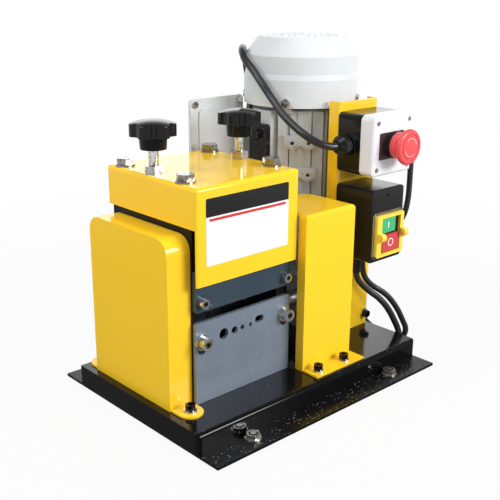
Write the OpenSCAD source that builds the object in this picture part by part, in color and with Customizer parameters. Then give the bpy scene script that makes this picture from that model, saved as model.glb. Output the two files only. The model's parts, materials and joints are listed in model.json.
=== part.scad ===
// Bench wire stripping machine: a motor and worm gearbox turn a grooved feed roller, and a row of round
// blades above it slits the cable. Two knob screws set the blades' height.
// X runs left to right, Y front to back and Z up. The feet stand on Z = 0, and the origin is the middle
// of the machine's footprint.

/* [Base] */
// Width of the base pan
base_w = 330; // [322:1:360]
// Depth of the raised part of the base pan
base_d = 206; // [200:1:230]
// Height of the pan's top above the underside of its flanges
base_h = 24; // [18:1:36]
// How far the front and rear flanges stand out
flange_out = 27; // [22:1:36]
// Thickness of the base sheet
base_t = 3; // [2:0.5:4]
// Outside radius of the pan's bends
bend_r = 5; // [4:0.5:8]
// Height of the rubber feet
foot_h = 4; // [3:0.5:10]
// Diameter of the rubber feet
foot_d = 16; // [14:1:18]
// Distance of the feet from the pan's ends
foot_inset = 60; // [30:1:90]
// Distance of the feet from the pan's front and rear walls
foot_out = 10; // [9:0.5:12]
// Diameter of the studs in the feet
stud_d = 8; // [6:1:8]

/* [Cutting head] */
// Distance of the left side plate from the base's left end
head_inset = 36; // [36:1:40]
// Width over both side plates
head_w = 128; // [120:1:131]
// Thickness of the side plates
plate_t = 16; // [15:0.5:18]
// Distance of the side plates' front edges from the middle of the base
head_front = 52; // [48:1:56]
// Depth of the side plates
head_d = 128; // [122:1:134]
// Height of the cover's top above the floor
head_top = 250; // [245:1:270]
// Distance of the two shafts behind the middle of the base
axis_y = 15; // [12:1:17]
// Height of the lower shaft above the base pan
lower_axis_h = 42; // [40:1:46]
// Height of the bearing blocks' travel
lift = 5; // [2:0.5:5]
// Diameter of the lower shaft
lower_shaft_d = 20; // [18:1:20]
// Diameter of the upper shaft
upper_shaft_d = 17; // [15:1:17]
// Outer diameter of the lower bearings
lower_bearing_d = 42; // [38:1:42]
// Outer diameter of the upper bearings
upper_bearing_d = 35; // [32:1:35]
// Width of the bearing blocks
block_w = 40; // [39:1:44]
// Radius of the feed roller
roller_r = 20; // [18:0.5:20]
// Radius of the round blades
blade_r = 23; // [21:0.5:23]
// Thickness of a round blade
blade_t = 3; // [2:0.5:4]
// Diameter of the tie rods between the side plates
tie_d = 16; // [12:1:20]

/* [Gears] */
// Teeth on each shaft gear
gear_teeth = 16; // [16:1:16]
// Module of the shaft gears
gear_module = 3; // [3:0.05:3.1]
// Width of the shaft gears
gear_w = 14; // [10:1:15]
// Teeth on the worm wheel
wheel_teeth = 24; // [20:1:24]

/* [Head cover] */
// Thickness of the cover's sheet
cover_t = 2; // [1.5:0.5:3]
// Distance of the apron's front face from the middle of the base
apron_front = 63; // [62:1:66]
// Height of the apron
apron_h = 96; // [80:1:100]
// Height of the side and rear skirts
skirt_h = 40; // [30:1:45]
// Diameter of the cover's bolts
cover_bolt_d = 10; // [8:1:10]
// Distance of the front cover bolts behind the side plates' front edges
cover_bolt_front = 18; // [16:1:20]
// Distance of the rear cover bolts from the side plates' rear edges
cover_bolt_rear = 12; // [11:1:14]

/* [Knobs] */
// Diameter of the knob screws
screw_d = 10; // [8:1:10]
// Diameter over the knob's lobes
knob_d = 46; // [42:1:54]
// Height of the knob's lobed head
knob_h = 16; // [14:1:22]
// Height of the knob's lobes above the cover
knob_rise = 37; // [30:1:45]
// Number of lobes on a knob
knob_lobes = 6; // [5:1:7]

/* [Guide plates] */
// Thickness of both front plates
guide_t = 4; // [3:0.5:5]
// Height of the lower guide plate
guide_h = 86; // [84:1:88]
// Gap between the two front plates
inlet_gap = 11; // [10:1:14]
// Height of the upper inlet plate
inlet_h = 42; // [36:1:48]
// Diameter of the largest wire hole
hole_1_d = 11.5; // [10:0.5:12]
// Diameter of the second wire hole
hole_2_d = 8; // [6:0.5:9]
// Diameter of the third wire hole
hole_3_d = 5.3; // [4:0.1:6]
// Diameter of the smallest wire hole
hole_4_d = 4.2; // [3:0.1:5]
// Width of the flat cable slot
slot_w = 12; // [10:0.5:14]
// Height of the flat cable slot
slot_h = 7.5; // [5:0.5:8]
// Travel of the lower guide plate
guide_travel = 8; // [4:1:9]

/* [Guards] */
// Thickness of the guards' sheet
guard_t = 2; // [1.5:0.5:3]
// Height of both guards above the base pan
guard_h = 174; // [160:1:178]
// Depth of the left guard
left_guard_d = 129; // [122:1:134]
// Width of the left guard
left_guard_w = 27.7; // [27:0.1:28]
// Radius of the left guard's upper corners
left_guard_r = 16; // [6:1:24]
// Width of the right guard
right_guard_w = 76; // [70:1:78]
// Distance of the right guard's front from the middle of the base
right_guard_front = 74; // [72:1:78]

/* [Column and boxes] */
// Width of the control column
column_w = 66; // [60:1:68]
// Depth of the control column
column_d = 15; // [12:1:15]
// Thickness of the column's sheet
column_t = 2; // [1.5:0.5:3]
// Height of the column's top above the base pan
column_h = 276; // [272:1:300]
// Distance of the column's front from the middle of the base
column_front = 30; // [30:1:34]
// Width of the stop button's box
stop_w = 68; // [64:1:72]
// Height of the stop button's box
stop_h = 66; // [62:1:70]
// Depth of the box's black base
stop_base_d = 32; // [28:1:34]
// Depth of the box's white lid
stop_lid_d = 18; // [14:1:22]
// Height of the stop button above the base pan
stop_rise = 233; // [230:1:240]
// Diameter of the red mushroom head
mushroom_d = 39; // [37:1:44]
// Travel of the stop button
stop_travel = 4; // [2:0.5:5]
// Width of the switch box
switch_w = 54; // [52:1:60]
// Height of the switch box
switch_h = 83; // [80:1:88]
// Depth of the switch box
switch_d = 52; // [48:1:60]
// Height of the switch box above the base pan
switch_rise = 103; // [96:1:108]
// Width of the yellow bezel
bezel_w = 46; // [46:1:50]
// Height of the yellow bezel
bezel_h = 48; // [46:1:50]
// Travel of the start and stop keys
key_travel = 2.5; // [1:0.5:3]

/* [Motor and gearbox] */
// Distance of the motor's axis from the base's right end
motor_inset = 45; // [43:1:48]
// Centre distance of the worm and its wheel
worm_gap = 36; // [36:1:38]
// Radius over the motor's fins
motor_r = 58; // [56:0.5:59]
// Radius of the fan cover
fan_cover_r = 66; // [63:0.5:68]
// Height of the motor's foot above the base pan
motor_rise = 98; // [96:1:104]
// Height of the finned motor housing
motor_h = 166; // [160:1:172]
// Height of the fan cover
fan_cover_h = 75; // [70:1:80]
// Thickness of the fan cover's sheet
fan_cover_t = 1.5; // [1:0.5:2]
// Width of the gearbox
gearbox_w = 64; // [60:1:66]
// Width of the terminal box
terminal_w = 78; // [70:1:80]
// Height of the terminal box
terminal_h = 86; // [80:1:90]

/* [Hidden] */
$fn = 48;

// Clearances shared by the fits
run_fit = 0.05;
bolt_fit = 0.3;
seat_gap = 0.3;
cap_fit = 0.1;

// Levels and edges of the base
base_left = -(base_w - motor_inset + fan_cover_r) / 2;
base_right = base_left + base_w;
base_mid = (base_left + base_right) / 2;
deck_z = foot_h + base_h;
flange_top = foot_h + base_t;
foot_xs = [base_left + foot_inset, base_right - foot_inset];
foot_y = base_d / 2 + foot_out;

// Head: side plates, shafts and bearing blocks
head_left = base_left + head_inset;
head_right = head_left + head_w;
head_mid = (head_left + head_right) / 2;
plate_xs = [head_left, head_right - plate_t];
plate_mids = [head_left + plate_t / 2, head_right - plate_t / 2];
head_rear = head_d - head_front;
plate_top = head_top - cover_t;
lower_z = deck_z + lower_axis_h;
shaft_gap = gear_module * gear_teeth;
upper_z = lower_z + shaft_gap;
block_below = 22;
block_above = 30;
window_z = upper_z - block_below - 1;
window_h = block_below + block_above + lift + 2;
bearing_w = 12;
upper_bearing_w = 10;
foot_disc_d = 16;
foot_disc_h = 4;
foot_disc_z = upper_z + upper_bearing_d / 2 + 3.5;
roller_gap = 2;
roller_w = head_w - 2 * plate_t - 2 * roller_gap;
gear_x = head_left - 4 - gear_w;
shaft_start = gear_x - 4;
cover_bolt_ys = [-head_front + cover_bolt_front, head_rear - cover_bolt_rear];
cover_bolt_depth = 25;
tie_top = plate_top - 60;
tie_places = [[head_rear - 14, deck_z + 24], [head_rear - 14, tie_top], [-head_front + 16, tie_top]];

// Cover
cover_gap = 1.5;
cover_left = head_left - cover_gap - cover_t;
cover_right = head_right + cover_gap + cover_t;
cover_rear = head_rear + 2 + cover_t;
cover_w = cover_right - cover_left;
cover_d = apron_front + cover_rear;
apron_z = head_top - apron_h;
skirt_z = head_top - skirt_h;

// Knobs and their screws
nut_h = 8.4;
nut_af = 17;
collar_h = 12.6;
collar_d = 28;
knob_dome = 4.2;
knob_edge = 2;
lobe_r = 7.5;
knob_z = head_top + knob_rise;

// Front plates
guide_front = -head_front - guide_t - cap_fit;
guide_z = deck_z + seat_gap;
guide_top = guide_z + guide_h;
inlet_z = guide_top + inlet_gap;
hole_z = lower_z + roller_r + hole_1_d / 2 - 0.8;
slot_z = hole_z + 3;
wire_xs = [head_left + 36, head_left + 50.4, head_left + 61, head_left + 72, head_left + 84.5];
wire_ds = [hole_1_d, hole_2_d, hole_3_d, hole_4_d];
plate_screw_d = 8;
plate_screw_head_d = 13;
inlet_screw_d = 6;
inlet_screw_head_d = 10;
guide_corner = 2.5;
guide_screw_z = lower_z + 24;
inlet_screw_z = inlet_z + 10;
guide_slot_w = plate_screw_d + 1;

// Guards
left_guard_x = head_left - seat_gap - left_guard_w;
left_guard_inset = 23.5;
left_guard_rear = base_d / 2 - left_guard_inset;
tab_w = 26;
front_tab_out = 27;
rear_tab_out = 22;
right_guard_x = cover_right + 1;
right_guard_right = right_guard_x + right_guard_w;
right_guard_side = 58;
guard_foot = 22;
foot_screw_inset = 12;
foot_screw_gap = 41;
guard_screw_d = 6;
guard_screw_end = 6;

// Motor, gearbox and shafts
motor_x = base_right - motor_inset;
motor_y = axis_y + worm_gap;
motor_z = deck_z + motor_rise;
housing_top = motor_z + motor_h;
fan_cover_z = housing_top + 3.5;
fan_cover_top = fan_cover_z + fan_cover_h;
wheel_module = 2;
wheel_r = wheel_module * wheel_teeth / 2;
gear_case_r = 29;
worm_r = worm_gap - wheel_r - wheel_module - seat_gap;
worm_case_r = 22;
motor_shaft_d = 14;
rotor_r = 30;
shaft_end = motor_x + gearbox_w / 2 + 4;
gearbox_left = motor_x - gearbox_w / 2;
gearbox_flange_r = 42;
flange_bolt_r = 37;
flange_bolt_d = 6.6;
flange_t = 8;
case_bore_d = 42;
output_cap_d = 46;
output_cap_l = 9;
output_rim_d = 54;
gearbox_foot_t = 10;
pad_r = 56;
pad_w = 24;
side_pad_r = 52.5;
side_pad_w = 12;
pad_groove = 1.4;
lug_reach = 2.5;
lug_w = 36;
lug_hole_gap = 18.4;
lug_zs = [housing_top - 36, housing_top - 72.5];
bracket_w = 28;
bracket_t = 6;
bracket_top = housing_top - 16;
bracket_bolt_zs = [bracket_top - 12, bracket_top - 60];
bracket_face = 62;
bracket_x = motor_x - bracket_face - bracket_t;
right_guard_rear_x = bracket_x - 6;
fan_screw_angles = [30, 120, 210, 300];

// Terminal box
terminal_front = head_rear + 8;
terminal_right = motor_x - motor_r - 1;
terminal_left = terminal_right - terminal_w;
terminal_rise = 13;
terminal_top = housing_top + terminal_rise;
terminal_z = terminal_top - terminal_h;
terminal_d = 42;
terminal_lid_t = 6;
terminal_screw_in = 6;
saddle_y = motor_y + 37;
saddle_d = 18;
saddle_reach = 29;
terminal_gland_back = 33;
terminal_gland = [terminal_right, terminal_front + terminal_gland_back, terminal_z + terminal_h / 2 + 1];

// Column and its boxes
column_right = base_right - 1;
column_left = column_right - column_w;
column_mid = (column_left + column_right) / 2;
column_bolt_z = deck_z + 14;
column_bolt_d = 5;
column_nut_af = 8;
column_nut_h = 4;
column_washer_d = 12;
column_washer_t = 1.5;
column_bolt_xs = [column_left + 8, column_right - 7];
stop_z = deck_z + stop_rise;
stop_front = column_front + stop_base_d + stop_lid_d;
stop_gland_y = -column_front - stop_base_d / 2 - 1;
switch_left = column_left;
switch_mid = switch_left + switch_w / 2;
switch_z = deck_z + switch_rise;
switch_front = column_front + switch_d;
lead_grip = [switch_left + 36, -column_front - 13];
mains_grip = [switch_left + 17, -column_front - 20];
bezel_t = 6;
bezel_z = switch_z + 7 + bezel_h / 2;
panel_t = 2.5;
panel_w = 32;
panel_h = 40;
panel_x = switch_mid + 1;
start_key_w = 24;
start_key_h = 17;
start_key_x = panel_x - 2.5;
start_key_z = bezel_z + 10.9;
stop_key_w = 29;
stop_key_h = 19;
stop_key_z = bezel_z - 9;
key_fit = 0.2;
start_key_out = key_travel - 1;
stop_key_out = key_travel + 1;
ear_w = 6.6;
ear_r = 4.5;
ear_out = 3.5;
ear_x = bezel_w / 2 - 3.7;
gland_len = 22;
stem_d = 22;
barrel_l = 21;
plunger_d = 18;
stop_screw_in = 7.5;

// Stop button: plate, ring and tube on the lid, and the head that slides over the tube
legend_w = 40;
legend_h = 29;
legend_x = -3.8;
ring_h = 2;
tube_d = 25.6;
tube_h = 7.5;
head_rise = ring_h + stop_travel + 0.2;
head_hollow = stop_travel + 2.5;
head_l = 18;
head_pin_l = 8;

// Cords: diameters and routes, in millimetres from the base's left end, the middle of the base and the floor
motor_lead_d = 8.5;
control_lead_d = 7;
mains_cord_d = 7.5;
motor_lead_route = [[240, 117, 263], [248, 117, 263], [257, 118, 266], [265, 120, 273], [270, 122, 283],
  [272, 124, 296], [271, 125, 313], [266, 124, 330], [258, 118, 344], [246, 108, 353], [233, 95, 356],
  [220, 81, 353], [213, 68, 345], [211, 54, 336], [211, 40, 323], [213, 25, 307], [212, 8, 293],
  [212, -8, 283], [214, -24, 274], [221, -37, 266], [231, -44, 262], [240, -47, 261], [248, -47, 261]];
control_lead_route = [[344, -47, 261], [352, -47, 261], [360, -47, 260], [368, -47, 256], [373, -47, 249],
  [375, -47, 239], [375, -47, 220], [375, -47, 200], [374, -47, 181], [371, -45, 162], [365, -38, 145],
  [357, -24, 129], [350, -7, 113], [346, 9, 96], [345, 19, 76], [348, 22, 56], [353, 16, 37], [357, 3, 20],
  [360, -12, 9], [361, -28, 4], [361, -44, 4], [360, -57, 7], [358, -66, 14], [355, -70, 25], [350, -68, 37],
  [344, -65, 50], [337, -61, 62], [330, -57, 71], [322, -53, 78], [314, -49, 84], [307, -46, 91],
  [302, -44, 99], [300, -43, 108], [299, -43, 117], [299, -43, 125]];
mains_cord_route = [[280, -50, 117], [280, -50, 109], [283, -51, 100], [289, -54, 92], [297, -58, 84],
  [306, -63, 76], [314, -68, 66], [321, -71, 55], [327, -73, 44], [333, -74, 33], [338, -73, 23],
  [343, -69, 14], [347, -61, 8], [349, -51, 5], [350, -39, 4], [350, -25, 4], [350, -8, 4], [351, 10, 4],
  [352, 30, 4], [352, 52, 4], [352, 74, 4], [351, 96, 4], [349, 118, 4], [346, 142, 4], [345, 168, 4]];
mains_tail_route = [[296, 232, 18], [285, 232, 16], [273, 232, 13], [261, 232, 12]];
coil_x = base_left + 300;
coil_y = 187;
coil_r = 41.25;
coil_columns = 2;
coil_layers = 3;
plug_x = base_left + 262;
plug_y = coil_y + 45;
plug_z = 12;

// Plain shapes

module rounded(w, h, r) {
  square([w - 2 * r, h], center = true);
  square([w, h - 2 * r], center = true);
  for (x = [-1, 1], y = [-1, 1]) translate([x * (w / 2 - r), y * (h / 2 - r)]) circle(r);
}

// A flat outline with only its two upper corners rounded, standing on its lower edge
module arch(w, h, r) {
  translate([-w / 2, 0]) square([w, h - r]);
  translate([-w / 2 + r, 0]) square([w - 2 * r, h]);
  for (x = [-1, 1]) translate([x * (w / 2 - r), h - r]) circle(r);
}

// Extrudes a flat outline, drawn in Y and Z, along X
module along_x(x, t) {
  translate([x, 0, 0]) rotate([90, 0, 90]) linear_extrude(t) children();
}

// Extrudes a flat outline, drawn in X and Z, towards the back
module along_y(y, t) {
  translate([0, y + t, 0]) rotate([90, 0, 0]) linear_extrude(t) children();
}

module rod_x(x, y, z, d, l) {
  translate([x, y, z]) rotate([0, 90, 0]) cylinder(d = d, h = l);
}

module rod_y(x, y, z, d, l) {
  translate([x, y, z]) rotate([-90, 0, 0]) cylinder(d = d, h = l);
}

module rod_z(x, y, z, d, l) {
  translate([x, y, z]) cylinder(d = d, h = l);
}

// A ring about Z, from z upwards
module ring(x, y, z, outer, inner, h) {
  translate([x, y, z]) difference() {
    cylinder(d = outer, h = h);
    translate([0, 0, -1]) cylinder(d = inner, h = h + 2);
  }
}

// Hexagon across flats, standing on z
module hexagon(x, y, z, af, h) {
  translate([x, y, z]) cylinder(d = af / cos(30), h = h, $fn = 6);
}

module hex_nut(x, y, z, af, bore, h) {
  difference() {
    hexagon(x, y, z, af, h);
    rod_z(x, y, z - 1, bore, h + 2);
  }
}

// A socket head cap screw along +Y, its head's seat at y
module cap_screw(x, y, z, d, head_d, head_h, l) {
  difference() {
    union() {
      rod_y(x, y - head_h, z, head_d, head_h);
      rod_y(x, y - 1, z, d, l + 1);
    }
    translate([x, y - head_h - 1, z]) rotate([-90, 0, 0])
      cylinder(d = head_d * 0.5 / cos(30), h = head_h * 0.5 + 1, $fn = 6);
  }
}

// A hex head bolt with its washer, pointing down from z
module washer_bolt(x, y, z, d, af, washer_d, l) {
  washer_t = 2;
  hexagon(x, y, z + washer_t, af, d * 0.64);
  rod_z(x, y, z - l, d, l + washer_t + 1);
  ring(x, y, z, washer_d, d + 1, washer_t);
}

// Involute gear outline about the origin

function roll(rb, r) = sqrt(max(0, (r / rb) * (r / rb) - 1)) * 180 / PI;
function involute(t) = t - atan(t * PI / 180);
function polar(r, a) = [r * cos(a), r * sin(a)];
function flank_angle(rb, r, half, pitch) = half + involute(roll(rb, pitch)) - involute(roll(rb, max(r, rb)));
function gear_outline(m, z, backlash) =
  let (pitch = m * z / 2, rb = pitch * cos(20), tip = pitch + 0.9 * m, root = pitch - 1.25 * m,
    half = 90 / z - backlash / pitch * 90 / PI,
    radii = [root, rb, pitch, pitch + 0.5 * m, tip])
  [for (tooth = [0:z - 1])
    let (a = tooth * 360 / z)
    each concat(
      [for (r = radii) polar(r, a - flank_angle(rb, r, half, pitch))],
      [for (i = [4:-1:0]) polar(radii[i], a + flank_angle(rb, radii[i], half, pitch))])];

// Base

module base_shell() {
  intersection() {
    translate([base_mid, 0, foot_h]) linear_extrude(base_h) rounded(base_w, base_d, bend_r);
    along_x(base_left, base_w) translate([0, foot_h]) rounded(base_d, 2 * base_h, bend_r);
  }
}

module base_pan() color("#17181b") difference() {
  union() {
    base_shell();
    for (side = [-1, 1])
      translate([base_left, side > 0 ? base_d / 2 - base_t : -base_d / 2 - flange_out, foot_h])
        cube([base_w, flange_out + base_t, base_t]);
  }
  translate([base_mid, 0, foot_h - 1])
    linear_extrude(base_h - base_t + 1) rounded(base_w - 2 * base_t, base_d - 2 * base_t, bend_r - base_t);
  for (x = foot_xs, side = [-1, 1])
    rod_z(x, side * foot_y, foot_h - 1, stud_d + bolt_fit, base_t + 2);
  for (p = deck_bolt_places()) rod_z(p[0], p[1], deck_z - base_t - 1, p[2] + bolt_fit, base_t + 2);
  for (p = guard_screw_places())
    rod_z(p[0], p[1], deck_z - base_t - guard_screw_end - 1,
      guard_screw_d + bolt_fit, base_t + guard_screw_end + 2);
}

module rubber_feet() color("#2a2a2c") for (x = foot_xs, side = [-1, 1]) difference() {
  rod_z(x, side * foot_y, 0, foot_d, foot_h);
  rod_z(x, side * foot_y, 1.5, stud_d, foot_h);
}

// Each stud is moulded into a foot and held above the flange by its nut
module foot_nuts() color("#b9b4ac") for (x = foot_xs, side = [-1, 1]) {
  rod_z(x, side * foot_y, 1.5, stud_d, flange_top + 6 - 1.5);
  ring(x, side * foot_y, flange_top, 17, stud_d, 1);
  hex_nut(x, side * foot_y, flange_top + 1, 13, stud_d, 4.4);
}

// Bolts from under the pan into the side plates, the gearbox and the column's foot: x, y, diameter, length
function deck_bolt_places() = concat(
  [for (x = plate_mids, y = [-head_front + 18, head_rear - 30]) [x, y, 8, 20]],
  [for (x = [gearbox_left + 8, gearbox_left + gearbox_w - 8], y = [axis_y - 18, motor_y + 24]) [x, y, 8, 8]],
  [for (x = column_bolt_xs) [x + (x < column_mid ? 12 : -12), -column_front + 9, 6, 4]],
  [for (y = [motor_y - 7, motor_y + 7]) [bracket_x - 8, y, 6, 4]]);

module deck_bolts() color("#a8a59e") for (p = deck_bolt_places()) {
  head_h = p[2] * 0.6;
  rod_z(p[0], p[1], deck_z - base_t, p[2], base_t + p[3]);
  hexagon(p[0], p[1], deck_z - base_t - head_h, p[2] * 1.6, head_h);
}

// Cutting head

module side_plate(x, outer_side) {
  mid = x + plate_t / 2;
  difference() {
    along_x(x, plate_t) translate([head_rear / 2 - head_front / 2, deck_z])
      arch(head_d, plate_top - deck_z, 3);
    rod_x(x - 1, axis_y, lower_z, lower_bearing_d, plate_t + 2);
    translate([x - 1, axis_y - block_w / 2 - run_fit, window_z])
      cube([plate_t + 2, block_w + 2 * run_fit, window_h]);
    rod_z(mid, axis_y, window_z + 1, screw_d + 2 * cap_fit, plate_top);
    for (y = cover_bolt_ys) rod_z(mid, y, plate_top - cover_bolt_depth - 2, cover_bolt_d, plate_top);
    rod_y(mid, -head_front - 1, guide_screw_z, plate_screw_d, 22);
    rod_y(mid, -head_front - 1, inlet_screw_z, inlet_screw_d, 22);
    for (p = tie_places) {
      rod_x(x - 1, p[0], p[1], 8 + bolt_fit, plate_t + 2);
      rod_x(outer_side < 0 ? x - 1 : x + plate_t - 6, p[0], p[1], 14, 7);
    }
    for (y = [-head_front + 18, head_rear - 30]) rod_z(mid, y, deck_z - 1, 8, 22);
  }
}

module side_plate_left() color("#1c1d20") side_plate(plate_xs[0], -1);

module side_plate_right() color("#1c1d20") side_plate(plate_xs[1], 1);

// Each tie rod is a round bar with a countersunk cap screw in both ends
module tie_rods() color("#8f9398") for (p = tie_places) {
  x0 = head_left + plate_t;
  x1 = head_right - plate_t;
  difference() {
    rod_x(x0, p[0], p[1], tie_d, x1 - x0);
    rod_x(x0 - 1, p[0], p[1], 8, 16);
    rod_x(x1 - 15, p[0], p[1], 8, 16);
  }
  rod_x(head_left + 6, p[0], p[1], 8, plate_t + 8);
  rod_x(head_right - plate_t - 14, p[0], p[1], 8, plate_t + 8);
  rod_x(head_left + 0.5, p[0], p[1], 13, 5.5);
  rod_x(head_right - 6, p[0], p[1], 13, 5.5);
}

// A shielded ball bearing about X, drawn as one ring with recessed shields
module bearing(x, y, z, outer, inner, w) {
  mid = (outer + inner) / 4;
  half = (outer - inner) / 4;
  translate([x, y, z]) rotate([0, 90, 0]) rotate_extrude()
    polygon([[inner / 2, 0], [mid - half * 0.55, 0], [mid - half * 0.55, 0.6], [mid + half * 0.55, 0.6],
      [mid + half * 0.55, 0], [outer / 2, 0], [outer / 2, w], [mid + half * 0.55, w],
      [mid + half * 0.55, w - 0.6], [mid - half * 0.55, w - 0.6], [mid - half * 0.55, w], [inner / 2, w]]);
}

module lower_bearings() color("#c3c6ca") for (mid = plate_mids)
  bearing(mid - bearing_w / 2, axis_y, lower_z, lower_bearing_d, lower_shaft_d + 2 * run_fit, bearing_w);

module lower_shaft() color("#9da1a6") union() {
  rod_x(shaft_start, axis_y, lower_z, lower_shaft_d, shaft_end - shaft_start);
  rod_x(shaft_start - 2, axis_y, lower_z, lower_shaft_d - 4, shaft_end - shaft_start + 4);
  for (x = [plate_mids[0] + bearing_w / 2 + 0.2, head_right - plate_t - roller_gap])
    rod_x(x, axis_y, lower_z, lower_shaft_d + 6, roller_gap + (plate_t - bearing_w) / 2 - 0.2);
}

// The feed roller has a round groove under each wire hole and a flat one under the slot
module feed_roller() color("#6d7076") translate([head_left + plate_t + roller_gap, axis_y, lower_z])
  rotate([0, 90, 0]) rotate_extrude() difference() {
    translate([lower_shaft_d / 2, 0]) square([roller_r - lower_shaft_d / 2, roller_w]);
    for (i = [0:3])
      translate([roller_r + wire_ds[i] * 0.2, wire_xs[i] - head_left - plate_t - roller_gap])
        circle(d = wire_ds[i]);
    translate([roller_r - 2, wire_xs[4] - head_left - plate_t - roller_gap - slot_w / 2])
      square([4, slot_w]);
    for (i = [0:7]) translate([roller_r, 2.5 + i * 1.6]) circle(0.45, $fn = 16);
    for (i = [0:3]) translate([roller_r, roller_w - 2.5 - i * 1.6]) circle(0.45, $fn = 16);
  }

module shaft_gear(z, bore, turn) {
  difference() {
    union() {
      translate([gear_x, axis_y, z]) rotate([90, 0, 90]) rotate(turn)
        linear_extrude(gear_w) polygon(gear_outline(gear_module, gear_teeth, 0.3));
      rod_x(gear_x - 3, axis_y, z, bore + 12, gear_w + 5);
    }
    rod_x(gear_x - 4, axis_y, z, bore, gear_w + 8);
  }
}

module lower_gear() color("#b0a48c") shaft_gear(lower_z, lower_shaft_d, 90);

module upper_gear() color("#b0a48c") shaft_gear(upper_z, upper_shaft_d, 90 + 180 / gear_teeth);

module worm_wheel() color("#b9924a") difference() {
  union() {
    translate([motor_x - 9, axis_y, lower_z]) rotate([90, 0, 90]) linear_extrude(18)
      polygon(gear_outline(wheel_module, wheel_teeth, 0.2));
    rod_x(motor_x - 20, axis_y, lower_z, lower_shaft_d + 10, 40);
  }
  rod_x(motor_x - 22, axis_y, lower_z, lower_shaft_d, 44);
}

// The bearing blocks slide in the side plates' windows and hang on the knob screws' foot discs
module bearing_blocks() color("#8b8f94") for (mid = plate_mids) difference() {
  translate([mid - plate_t / 2, axis_y - block_w / 2, upper_z - block_below])
    cube([plate_t, block_w, block_below + block_above]);
  rod_x(mid - plate_t, axis_y, upper_z, upper_bearing_d, 2 * plate_t);
  rod_z(mid, axis_y, foot_disc_z, foot_disc_d - 2 + cap_fit, foot_disc_h + 2 * seat_gap);
  translate([mid - plate_t, axis_y - foot_disc_d / 2 + 1 - cap_fit, foot_disc_z])
    cube([plate_t, foot_disc_d - 2 + 2 * cap_fit, foot_disc_h + 2 * seat_gap]);
  translate([mid - plate_t, axis_y - screw_d / 2 - cap_fit, foot_disc_z])
    cube([plate_t, screw_d + 2 * cap_fit, block_above]);
  rod_z(mid, axis_y, foot_disc_z, screw_d + 2 * cap_fit, block_above);
}

module upper_bearings() color("#c3c6ca") for (mid = plate_mids)
  bearing(mid - upper_bearing_w / 2, axis_y, upper_z,
    upper_bearing_d, upper_shaft_d + 2 * run_fit, upper_bearing_w);

module upper_shaft() color("#9da1a6") union() {
  end = head_right - plate_t / 2 + upper_bearing_w / 2 + 2;
  rod_x(shaft_start, axis_y, upper_z, upper_shaft_d, end - shaft_start);
  rod_x(shaft_start - 2, axis_y, upper_z, upper_shaft_d - 4, end - shaft_start + 4);
  for (x = [plate_mids[0] + upper_bearing_w / 2 + 0.2, head_right - plate_t - roller_gap])
    rod_x(x, axis_y, upper_z, upper_shaft_d + 5, roller_gap + (plate_t - upper_bearing_w) / 2 - 0.2);
}

// One bevelled blade over each wire hole, with spacer rings between them
module cutter_blades() color("#aeb3ba") translate([head_left + plate_t + roller_gap, axis_y, upper_z])
  rotate([0, 90, 0]) rotate_extrude() difference() {
    union() {
      translate([upper_shaft_d / 2, 0]) square([6, roller_w]);
      for (x = wire_xs) {
        at = x - head_left - plate_t - roller_gap;
        polygon([[upper_shaft_d / 2, at - blade_t / 2], [blade_r - 2.5, at - blade_t / 2],
          [blade_r, at - 0.3], [blade_r, at + 0.3], [blade_r - 2.5, at + blade_t / 2],
          [upper_shaft_d / 2, at + blade_t / 2]]);
      }
      for (at = [0, roller_w - 6]) translate([upper_shaft_d / 2, at]) square([10, 6]);
    }
    for (i = [1:4])
      translate([upper_shaft_d / 2 + 6, (wire_xs[i] + wire_xs[i - 1]) / 2 - head_left - plate_t - roller_gap])
        circle(0.5, $fn = 16);
  }

// Cover, its bolts, and the knob screws

module head_cover() color("#ffd932") difference() {
  intersection() {
    translate([(cover_left + cover_right) / 2, (cover_rear - apron_front) / 2, apron_z])
      linear_extrude(apron_h) rounded(cover_w, cover_d, 3);
    along_x(cover_left, cover_w)
      translate([(cover_rear - apron_front) / 2, apron_z]) arch(cover_d, apron_h, 4);
    along_y(-apron_front, cover_d)
      translate([(cover_left + cover_right) / 2, apron_z]) arch(cover_w, apron_h, 4);
  }
  translate([(cover_left + cover_right) / 2, (cover_rear - apron_front) / 2, apron_z - 1])
    linear_extrude(apron_h - cover_t + 1) rounded(cover_w - 2 * cover_t, cover_d - 2 * cover_t, 1);
  translate([cover_left - 1, -apron_front + cover_t, apron_z - 1])
    cube([cover_w + 2, cover_d, skirt_z - apron_z + 1]);
  for (x = plate_mids) {
    rod_z(x, axis_y, plate_top - 1, screw_d + 1, cover_t + 2);
    for (y = cover_bolt_ys) rod_z(x, y, plate_top - 1, cover_bolt_d + 1, cover_t + 2);
  }
}

module cover_bolts() color("#c9ccd0") for (x = plate_mids, y = cover_bolt_ys)
  washer_bolt(x, y, head_top, cover_bolt_d, 16, 20, cover_t + cover_bolt_depth);

module screw_nuts() color("#cdd0d4") for (x = plate_mids)
  hex_nut(x, axis_y, head_top, nut_af, screw_d + 2 * cap_fit, nut_h);

// A screw turns in the side plate and pushes its bearing block with the disc at its foot
module knob_screw(x) {
  rod_z(x, axis_y, foot_disc_z + seat_gap, foot_disc_d - 2, foot_disc_h);
  rod_z(x, axis_y, foot_disc_z + seat_gap, screw_d, knob_z + knob_h * 0.6 - foot_disc_z - seat_gap);
}

module screw_left() color("#c4c7cb") knob_screw(plate_mids[0]);

module screw_right() color("#c4c7cb") knob_screw(plate_mids[1]);

// Round lobes about a core
module knob_outline() {
  circle(knob_d / 2 - lobe_r * 0.6);
  for (a = [0:360 / knob_lobes:359]) rotate(a + 27) translate([knob_d / 2 - lobe_r, 0]) circle(lobe_r);
}

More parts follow.
